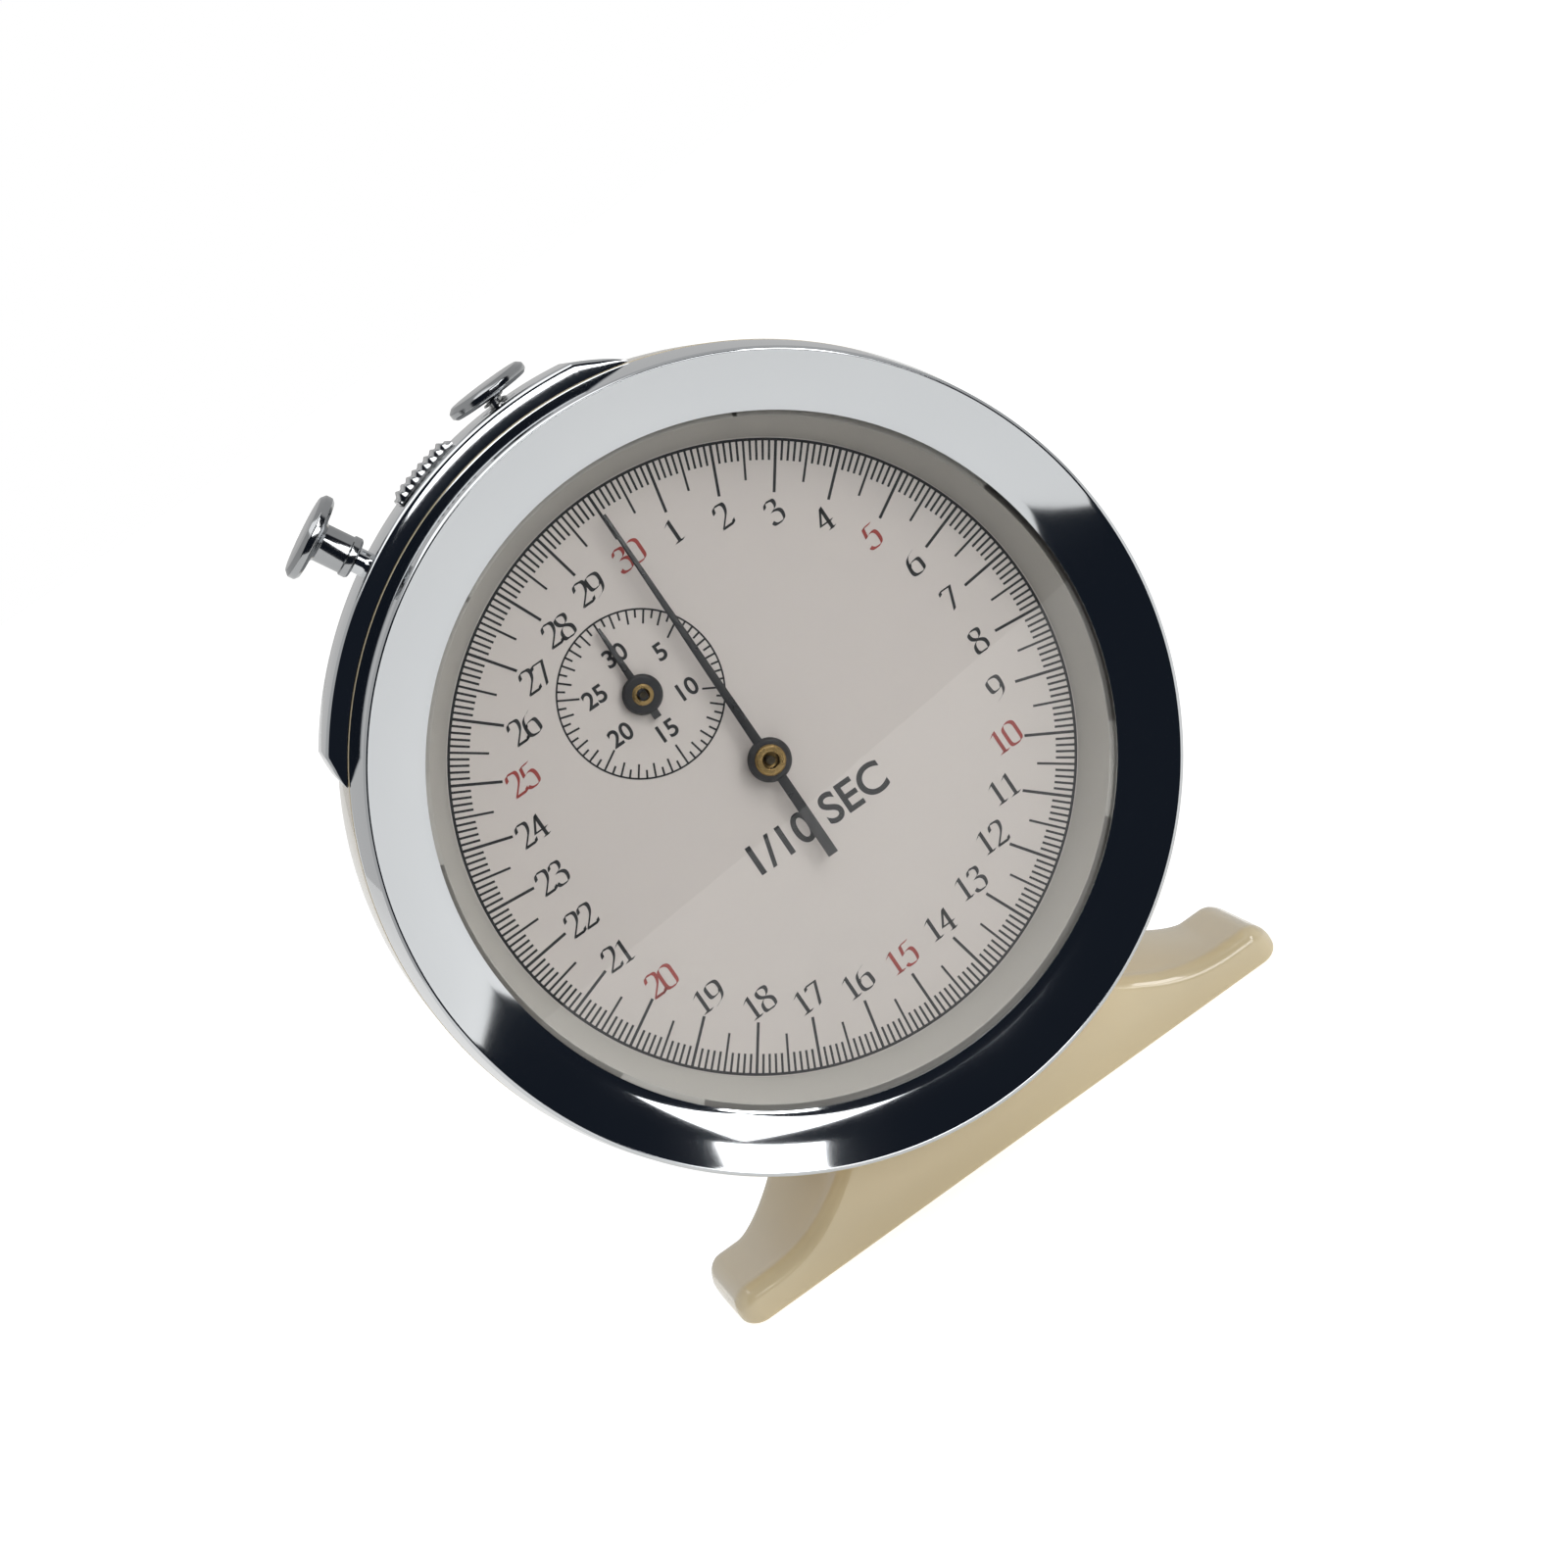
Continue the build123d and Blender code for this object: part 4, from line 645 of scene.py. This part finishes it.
def drawFigures(name, figures, height, lift):
    # figures are (text, across, up); every stroke is one line that the nib then sweeps out
    data = bpy.data.curves.new(name, "CURVE")
    data.dimensions = "3D"
    data.resolution_u = 5
    for text, across, up in figures:
        wide = nib["advance"] * (len(text) - 1) + 2 * nib["half"] + nib["across"]
        for place, figure in enumerate(text):
            for isCurved, stroke in figureStrokes[figure]:
                spline = data.splines.new("NURBS" if isCurved else "POLY")
                spline.points.add(len(stroke) - 1)
                for point, (x, y) in zip(spline.points, stroke):
                    x += nib["advance"] * place - wide / 2
                    y -= 0.5 + nib["up"] / 2
                    point.co = ((across + x * height) * mm, (up + y * height) * mm, 0, 1)
                if isCurved:
                    spline.order_u = 3
                    spline.use_endpoint_u = True
    drawn = bpy.data.objects.new(name, data)
    scene.collection.objects.link(drawn)
    take(drawn)
    bpy.ops.object.convert(target="MESH")
    piece = bpy.context.object
    bpy.ops.object.mode_set(mode="EDIT")
    bpy.ops.mesh.select_all(action="SELECT")
    sweep = (nib["across"] * height * mm, nib["up"] * height * mm, 0)
    bpy.ops.mesh.extrude_region_move(TRANSFORM_OT_translate={"value": sweep})
    bpy.ops.mesh.select_all(action="SELECT")
    bpy.ops.mesh.dissolve_degenerate(threshold=0.002 * mm)
    bpy.ops.mesh.select_all(action="SELECT")
    bpy.ops.mesh.extrude_region_move(TRANSFORM_OT_translate={"value": (0, 0, lift * mm)})
    bpy.ops.mesh.select_all(action="SELECT")
    bpy.ops.mesh.normals_make_consistent(inside=False)
    bpy.ops.object.mode_set(mode="OBJECT")
    return piece


def makeNumerals(s):
    black, red = [], []
    for number in range(1, 31):
        angle = math.radians(90 - number * 12)
        place = (str(number), s["numeralRadius"] * math.cos(angle), s["numeralRadius"] * math.sin(angle))
        (red if number % 5 == 0 else black).append(place)
    for name, places, ink in (("blackNumerals", black, blackInk), ("redNumerals", red, redInk)):
        piece = drawFigures(name, places, s["numeralHeight"], s["lift"])
        faceReader(piece)
        finishPiece(piece, ink, "case", "black_enamel")
    small = []
    for number in range(5, 31, 5):
        angle = math.radians(90 - number * 12)
        across = s["smallNumeralRadius"] * math.cos(angle)
        up = s["smallNumeralRadius"] * math.sin(angle)
        small.append(letter(str(number), s["smallNumeralHeight"], across, up, s["lift"], s["smallWeight"]))
    piece = joinPieces("smallNumerals", small)
    faceReader(piece, s["smallAcross"], s["smallUp"])
    finishPiece(piece, blackInk, "case", "black_enamel")
    legend = letter("1/10 SEC", s["legendHeight"], 0, 0, s["lift"], s["legendWeight"])
    legend.name = "dialLegend"
    fitted = s["legendWidth"] * mm / legend.dimensions.x
    legend.scale = (fitted, fitted, 1)
    applyPlace(legend)
    faceReader(legend, s["legendAcross"], s["legendUp"])
    finishPiece(legend, blackInk, "case", "black_enamel")


makeDial(dialShape)
makeMainMarks(printShape)
makeSmallMarks(printShape)
makeNumerals(printShape)
print("dial printed")

# the hands and their collets
sweepShape = {"length": 42.6, "tail": 16.6, "tipWidth": 0.6, "hubWidth": 1.5, "tailWidth": 1.6,
              "height": 2.8, "thickness": 0.3, "edge": 0.08, "bossRadius": 3.3, "colletRadius": 2.3,
              "colletTop": 4.0, "hole": 0.62, "well": 1.15}
minuteShape = {"length": 11.4, "tail": 4.0, "tipWidth": 0.55, "hubWidth": 1.3, "tailWidth": 1.2,
               "height": 1.2, "thickness": 0.3, "edge": 0.08, "bossRadius": 3.0, "colletRadius": 1.7,
               "colletTop": 1.9, "hole": 0.5, "well": 0.85}


def makeBlade(name, s):
    # a flat bar along Y, drawn in to the tip, with rounded edges
    clearSelection()
    whole = s["length"] + s["tail"]
    middle = (s["length"] - s["tail"]) / 2
    height = s["height"] + s["thickness"] / 2
    bpy.ops.mesh.primitive_cube_add(size=1, location=(0, middle * mm, height * mm),
                                    scale=(s["hubWidth"] * mm, whole * mm, s["thickness"] * mm))
    piece = bpy.context.object
    piece.name = name
    bpy.ops.object.transform_apply(location=True, rotation=True, scale=True)
    bpy.ops.object.mode_set(mode="EDIT")
    bpy.ops.mesh.select_all(action="SELECT")
    bpy.ops.mesh.bisect(plane_co=(0, 0, 0), plane_no=(0, 1, 0))
    bpy.ops.object.mode_set(mode="OBJECT")
    for vertex in piece.data.vertices:
        if vertex.co.y > middle * mm:
            vertex.co.x *= s["tipWidth"] / s["hubWidth"]
        elif vertex.co.y < -s["tail"] * mm / 2:
            vertex.co.x *= s["tailWidth"] / s["hubWidth"]
    bevel = piece.modifiers.new("edges", "BEVEL")
    bevel.width = s["edge"] * mm
    bevel.segments = 3
    applyModifiers(piece)
    smoothByAngle(piece, 40)
    return piece


def makeHand(name, s, body, handNode, colletNode, across=0.0, up=0.0):
    blade = makeBlade(name + "Blade", s)
    top = s["height"] + s["thickness"]
    boss = turnOnLathe(name + "Boss", [
        (s["colletRadius"] - 0.7, s["height"] - 0.3, 0), (s["bossRadius"] - 0.1, s["height"] - 0.3, 0.1),
        (s["bossRadius"], s["height"] + 0.1, 0.2), (s["bossRadius"] - 0.35, top + 0.25, 0.2),
        (s["colletRadius"] - 0.7, top + 0.25, 0)], True, segments=64)
    hand = joinPieces(name, [blade, boss])
    faceReader(hand, across, up)
    finishPiece(hand, handBlack, body, "black_enamel", handNode)
    collet = turnOnLathe(name + "Collet", [
        (s["hole"], s["colletTop"] - 0.9, 0), (s["well"], s["colletTop"] - 0.75, 0.1),
        (s["well"] + 0.1, s["colletTop"], 0.1),
        (s["colletRadius"] - 0.25, s["colletTop"], 0.2),
        (s["colletRadius"], s["colletTop"] - 0.3, 0.15),
        (s["colletRadius"], top + 0.2, 0.1), (s["colletRadius"] - 0.72, top + 0.1, 0),
        (s["colletRadius"] - 0.72, s["height"] - 0.8, 0.1), (s["hole"], s["height"] - 0.8, 0)],
        True, segments=64)
    faceReader(collet, across, up)
    finishPiece(collet, gildedBrass, body, "brass", colletNode)


makeHand("sweepHand", sweepShape, "sweep", "sweep_hand", "sweep_collet")
makeHand("minuteHand", minuteShape, "minute", "minute_hand", "minute_collet",
         printShape["smallAcross"], printShape["smallUp"])
print("hands made")

# saddle and controls, on lines outward from the dial's centre
crownShape = {"angle": 119.5, "depth": 7.0, "sleeveStart": 65.4, "sleeveRadius": 3.1, "capStart": 71.6,
              "capEnd": 73.88, "capRadius": 6.48, "bore": 2.2, "stemBore": 1.23}
resetShape = {"angle": 92.4, "depth": 7.0, "capStart": 65.2, "capEnd": 67.28, "capRadius": 6.48,
              "stemBore": 1.23}
saddleShape = {"inner": 60.65, "outer": 63.65, "start": 75.0, "end": 149.0, "rampStart": 7.0, "rampEnd": 4.0,
               "front": 0.02, "back": 14.98, "edge": 0.9, "thinEnd": 0.12, "bulge": 0.8, "columns": 222}
slideShape = {"inner": 63.8, "height": 1.35, "middle": 105.5, "span": 10.4, "front": 3.6, "back": 10.4,
              "ridges": 9, "ridgeDepth": 0.35, "edge": 0.3, "columns": 126}


def makeCrown(s):
    top = s["capEnd"]
    cap = turnOnLathe("crownCap", [
        (s["stemBore"], s["sleeveStart"] + 6.6, 0), (s["bore"], s["sleeveStart"] + 6.2, 0.1),
        (s["bore"], s["sleeveStart"], 0.1), (s["sleeveRadius"] - 0.3, s["sleeveStart"], 0.15),
        (s["sleeveRadius"], s["sleeveStart"] + 0.3, 0.15), (s["sleeveRadius"], s["sleeveStart"] + 1.3, 0.1),
        (s["sleeveRadius"] - 0.25, s["sleeveStart"] + 1.5, 0.1),
        (s["sleeveRadius"] - 0.25, s["capStart"] - 0.6, 0.2),
        (s["sleeveRadius"] + 0.5, s["capStart"], 0.2), (s["capRadius"] - 0.5, s["capStart"], 0.35),
        (s["capRadius"], s["capStart"] + 0.5, 0.35), (s["capRadius"], top - 0.8, 0.4),
        (s["capRadius"] - 0.7, top - 0.15, 0.4), (s["capRadius"] * 0.55, top, 1.5), (0.4, top, 0)],
        False, segments=128)
    standOnRim(cap, s["angle"], s["depth"])
    finishPiece(cap, paintedShadeKnobChrome, "crown", "bright_chrome", "crown_knob")


def makeReset(s):
    top = s["capEnd"]
    cap = turnOnLathe("resetCap", [
        (s["stemBore"], s["capStart"], 0.05), (s["capRadius"] - 0.5, s["capStart"], 0.35),
        (s["capRadius"], s["capStart"] + 0.5, 0.35), (s["capRadius"], top - 0.7, 0.4),
        (s["capRadius"] - 0.7, top - 0.12, 0.4), (s["capRadius"] * 0.55, top, 1.5), (0.4, top, 0)],
        False, segments=128)
    standOnRim(cap, s["angle"], s["depth"])
    finishPiece(cap, paintedShadeKnobChrome, "reset", "bright_chrome", "reset_button")


def makeSaddle(s):
    steps = 6

    def pointAt(along, index):
        angle = s["start"] + (s["end"] - s["start"]) * along
        rise = min(1.0, (angle - s["start"]) / s["rampStart"], (s["end"] - angle) / s["rampEnd"])
        rise = max(0.0, rise) ** s["bulge"]
        high = s["thinEnd"] + (s["outer"] - s["inner"] - s["thinEnd"]) * rise
        outer = s["inner"] + high
        soft = min(s["edge"], high * 0.45)
        radius, depth = blockSection(index, s["inner"], outer, s["front"], s["back"], soft, steps)
        turned = math.radians(angle)
        return dialCentre + Vector((radius * math.cos(turned), depth, radius * math.sin(turned))) * mm

    piece = carrySection("saddleCover", s["columns"], 2 * steps + 6, pointAt)
    finishPiece(piece, brightChrome, "case", "bright_chrome", "saddle_cover")


def makeSlide(s):
    steps = 3

    def pointAt(along, index):
        angle = math.radians(s["middle"] - s["span"] / 2 + s["span"] * along)
        end = min(1.0, 9 * along, 9 * (1 - along)) ** 0.5
        wave = 0.5 - 0.5 * math.cos(2 * math.pi * s["ridges"] * along)
        high = s["height"] * (0.35 + 0.65 * end) - s["ridgeDepth"] * wave
        outer = s["inner"] + high
        radius, depth = blockSection(index, s["inner"], outer, s["front"], s["back"], s["edge"], steps)
        return dialCentre + Vector((radius * math.cos(angle), depth, radius * math.sin(angle))) * mm

    piece = carrySection("thumbSlide", s["columns"], 2 * steps + 6, pointAt)
    finishPiece(piece, paintedShadeKnobChrome, "stop_slide_body", "bright_chrome", "stop_slide")


crownSpringShape = {"radius": 1.55, "wire": 0.2, "inner": 68.0, "outer": 71.57, "turns": 4, "travel": 1.4}
resetSpringShape = {"radius": 1.65, "wire": 0.2, "inner": 59.5, "outer": 65.17, "turns": 5, "travel": 1.3}


def makeSpring(s, control, name, standsFor):
    # one round of wire is screwed out into a coil
    clearSelection()
    bpy.ops.mesh.primitive_circle_add(vertices=10, radius=s["wire"] * mm, rotation=(math.radians(90), 0, 0),
                                      location=(s["radius"] * mm, 0, (s["inner"] + s["wire"]) * mm))
    piece = bpy.context.object
    piece.name = name
    applyPlace(piece)
    coils = piece.modifiers.new("coils", "SCREW")
    coils.iterations = s["turns"]
    coils.steps = 28
    coils.render_steps = 28
    coils.screw_offset = (s["outer"] - s["inner"] - 2 * s["wire"]) / s["turns"] * mm
    applyModifiers(piece)
    closeEnds(piece)
    smoothByAngle(piece, 50)
    standOnRim(piece, control["angle"], control["depth"])
    finishPiece(piece, polishedSteel, "case", "spring_steel", standsFor)
    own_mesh(piece)


makeCrown(crownShape)
makeReset(resetShape)
makeSpring(crownSpringShape, crownShape, "crownCoil", "crown_spring")
makeSpring(resetSpringShape, resetShape, "resetCoil", "reset_spring")
makeSaddle(saddleShape)
makeSlide(slideShape)
print("saddle and controls made")

# the base under the case
baseShape = {"length": 97.9, "front": 5.55, "back": 30.45, "cradle": 60.65, "edge": 2.6, "foot": 0.7,
             "endRound": 3.4, "flatFrom": 42.0, "columns": 140, "cornerSteps": 7, "topSteps": 10,
             "crowd": 0.35,
             "frontEdge": {"hornAngle": 22.0, "wing": 5.8, "ease": 2.5},
             "backEdge": {"hornAngle": 28.5, "wing": 7.1, "ease": 1.4}}


def makeBase(s):
    # one rounded section is carried along the base, higher at the back and at the cradle's horns
    half = s["length"] / 2
    cornerSteps, topSteps = s["cornerSteps"], s["topSteps"]
    sectionCount = 4 * (cornerSteps + 1) + topSteps + 1

    def edgeHeight(edge, x):
        hornX = s["cradle"] * math.sin(math.radians(edge["hornAngle"]))
        hornZ = dialCentre.z / mm - s["cradle"] * math.cos(math.radians(edge["hornAngle"]))
        share = min(1.0, max(0.0, (abs(x) - hornX) / (s["flatFrom"] - hornX)))
        return edge["wing"] + (hornZ - edge["wing"]) * (1 - share) ** edge["ease"]

    def topAt(x, share):
        loft = edgeHeight(s["frontEdge"], x) * (1 - share) + edgeHeight(s["backEdge"], x) * share
        return min(loft, dialCentre.z / mm - math.sqrt(s["cradle"] ** 2 - x**2))

    def sectionPoint(x, index):
        # how far the ends are drawn in, where the column lies in the rounded end
        past = max(0.0, abs(x) - (half - s["endRound"])) / s["endRound"]
        drawn = s["endRound"] * (1 - math.sqrt(max(0.0, 1 - past**2)))
        front, back = s["front"] + drawn, s["back"] - drawn
        deep = s["back"] - s["front"]
        steps = cornerSteps + 1

        def top(depth):
            return max(topAt(x, (depth - s["front"]) / deep) - drawn, drawn * 0.5 + 0.6)

        foot = drawn * 0.5
        if index < steps:
            soft = s["foot"]
            bend = math.radians(270 - 90 * index / cornerSteps)
            return front + soft + soft * math.cos(bend), foot + soft + soft * math.sin(bend)
        index -= steps
        if index < steps:
            soft = min(s["edge"], (top(front) - foot - s["foot"]) * 0.8)
            bend = math.radians(180 - 90 * index / cornerSteps)
            return front + soft + soft * math.cos(bend), top(front + soft) - soft + soft * math.sin(bend)
        index -= steps
        if index < topSteps:
            share = (index + 1) / (topSteps + 1)
            depth = front + s["edge"] + (back - front - 2 * s["edge"]) * share
            return depth, top(depth)
        index -= topSteps
        if index < steps:
            soft = min(s["edge"], (top(back) - foot - s["foot"]) * 0.8)
            bend = math.radians(90 - 90 * index / cornerSteps)
            return back - soft + soft * math.cos(bend), top(back - soft) - soft + soft * math.sin(bend)
        index -= steps
        soft = s["foot"]
        bend = math.radians(-90 * min(index, cornerSteps) / cornerSteps)
        if index > cornerSteps:
            return front + soft, foot
        return back - soft + soft * math.cos(bend), foot + soft + soft * math.sin(bend)

    def pointAt(along, index):
        # columns stand closer together at the rounded ends
        crowd = math.sin((2 * along - 1) * math.pi / 2)
        x = half * (s["crowd"] * crowd + (1 - s["crowd"]) * math.sin(crowd * math.pi / 2))
        depth, z = sectionPoint(x, index)
        return (dialCentre.x + x * mm, dialCentre.y + depth * mm, z * mm)

    piece = carrySection("baseStand", s["columns"], sectionCount, pointAt)
    finishPiece(piece, creamPlastic, "case", "cream_plastic", "base_stand")


makeBase(baseShape)
print("base made")

# the surroundings: floor, sky and lamps
# floorSeen and white lift what the camera sees directly, and nothing in the object's reflections
studio = {"floorSize": 8.0, "floor": (0.90, 0.90, 0.89), "floorGlow": 0.32, "floorSeen": 0.4,
          "edgeFrom": (-0.15, -0.28), "edgeTo": (0.43, -0.51), "white": (1, 1, 1, 1), "sky": 0.52,
          "dark": (0.011, 0.0146, 0.022), "darkHalfWidth": 62, "darkTop": 50}


def makeFloor(s):
    # the table stops a little way in front of the reader's side, along a slanting edge
    clearSelection()
    bpy.ops.mesh.primitive_plane_add(size=s["floorSize"], location=(0, 0, 0))
    floor = bpy.context.object
    floor.name = "floor"
    (fromX, fromY), (toX, toY) = s["edgeFrom"], s["edgeTo"]
    bpy.ops.object.mode_set(mode="EDIT")
    bpy.ops.mesh.select_all(action="SELECT")
    bpy.ops.mesh.bisect(plane_co=(fromX, fromY, 0), plane_no=(fromY - toY, toX - fromX, 0), clear_inner=True)
    bpy.ops.object.mode_set(mode="OBJECT")
    paper = finishOf("floorPaper", s["floor"], [c * 0.98 for c in s["floor"]], patch=3,
                     grain=200, smooth=0.7, rough=0.85, bump=0.0)
    shader = paper.node_tree.nodes["Principled BSDF"]
    shader.inputs["Emission Color"].default_value = (1, 1, 0.99, 1)
    path = node(paper.node_tree, "ShaderNodeLightPath")
    glow = node(paper.node_tree, "ShaderNodeMath", operation="MULTIPLY_ADD")
    glow.inputs[1].default_value = s["floorSeen"]
    glow.inputs[2].default_value = s["floorGlow"]
    paper.node_tree.links.new(path.outputs["Is Camera Ray"], glow.inputs[0])
    paper.node_tree.links.new(glow.outputs["Value"], shader.inputs["Emission Strength"])
    floor.data.materials.append(paper)


def makeSky(s):
    # pale all round, with a dark room in front of the dial; the backdrop itself is plain white
    world = bpy.data.worlds.new("studio")
    scene.world = world
    world.use_nodes = True
    tree = world.node_tree
    background = tree.nodes["Background"]
    place = node(tree, "ShaderNodeTexCoord")
    split = node(tree, "ShaderNodeSeparateXYZ")
    aside = node(tree, "ShaderNodeMath", operation="ARCTAN2")
    forward = node(tree, "ShaderNodeMath", operation="MULTIPLY")
    forward.inputs[1].default_value = -1
    size = node(tree, "ShaderNodeMath", operation="ABSOLUTE")
    within = node(tree, "ShaderNodeMapRange", interpolation_type="SMOOTHSTEP")
    within.inputs["From Min"].default_value = math.radians(s["darkHalfWidth"] + 5)
    within.inputs["From Max"].default_value = math.radians(s["darkHalfWidth"] - 5)
    below = node(tree, "ShaderNodeMapRange", interpolation_type="SMOOTHSTEP")
    below.inputs["From Min"].default_value = math.sin(math.radians(s["darkTop"] + 4))
    below.inputs["From Max"].default_value = math.sin(math.radians(s["darkTop"] - 4))
    both = node(tree, "ShaderNodeMath", operation="MULTIPLY")
    mix = node(tree, "ShaderNodeMix", data_type="RGBA")
    mix.inputs["A"].default_value = (s["sky"], s["sky"], s["sky"], 1)
    mix.inputs["B"].default_value = (*s["dark"], 1)
    path = node(tree, "ShaderNodeLightPath")
    seen = node(tree, "ShaderNodeMix", data_type="RGBA")
    seen.inputs["B"].default_value = s["white"]
    link = tree.links.new
    link(place.outputs["Generated"], split.inputs["Vector"])
    link(split.outputs["Y"], forward.inputs[0])
    link(split.outputs["X"], aside.inputs[0])
    link(forward.outputs["Value"], aside.inputs[1])
    link(aside.outputs["Value"], size.inputs[0])
    link(size.outputs["Value"], within.inputs["Value"])
    link(split.outputs["Z"], below.inputs["Value"])
    link(within.outputs["Result"], both.inputs[0])
    link(below.outputs["Result"], both.inputs[1])
    link(both.outputs["Value"], mix.inputs["Factor"])
    link(path.outputs["Is Camera Ray"], seen.inputs["Factor"])
    link(mix.outputs["Result"], seen.inputs["A"])
    link(seen.outputs["Result"], background.inputs["Color"])


def addSoftbox(name, aside, height, distance, size, power, lean=0):
    # a soft box stands at an angle to the right of the reader's line and above the dial, and faces it
    data = bpy.data.lights.new(name, "AREA")
    data.shape = "RECTANGLE"
    data.size, data.size_y = size
    data.energy = power
    lamp = bpy.data.objects.new(name, data)
    scene.collection.objects.link(lamp)
    right, up = math.radians(aside), math.radians(height)
    line = Vector((math.sin(right) * math.cos(up), -math.cos(right) * math.cos(up), math.sin(up)))
    lamp.location = dialCentre + line * distance
    facing = (-line).to_track_quat("-Z", "Y").to_matrix() @ Matrix.Rotation(math.radians(lean), 3, "Z")
    lamp.rotation_euler = facing.to_euler()


makeFloor(studio)
makeSky(studio)
addSoftbox("highBox", 38, 28, 1.2, (0.52, 0.22), 2.2, lean=45)
addSoftbox("lowBox", 15, 11, 1.2, (0.62, 0.26), 2.2)
addSoftbox("topBox", -20, 75, 1.4, (1.2, 1.0), 4.5)
print("studio made")
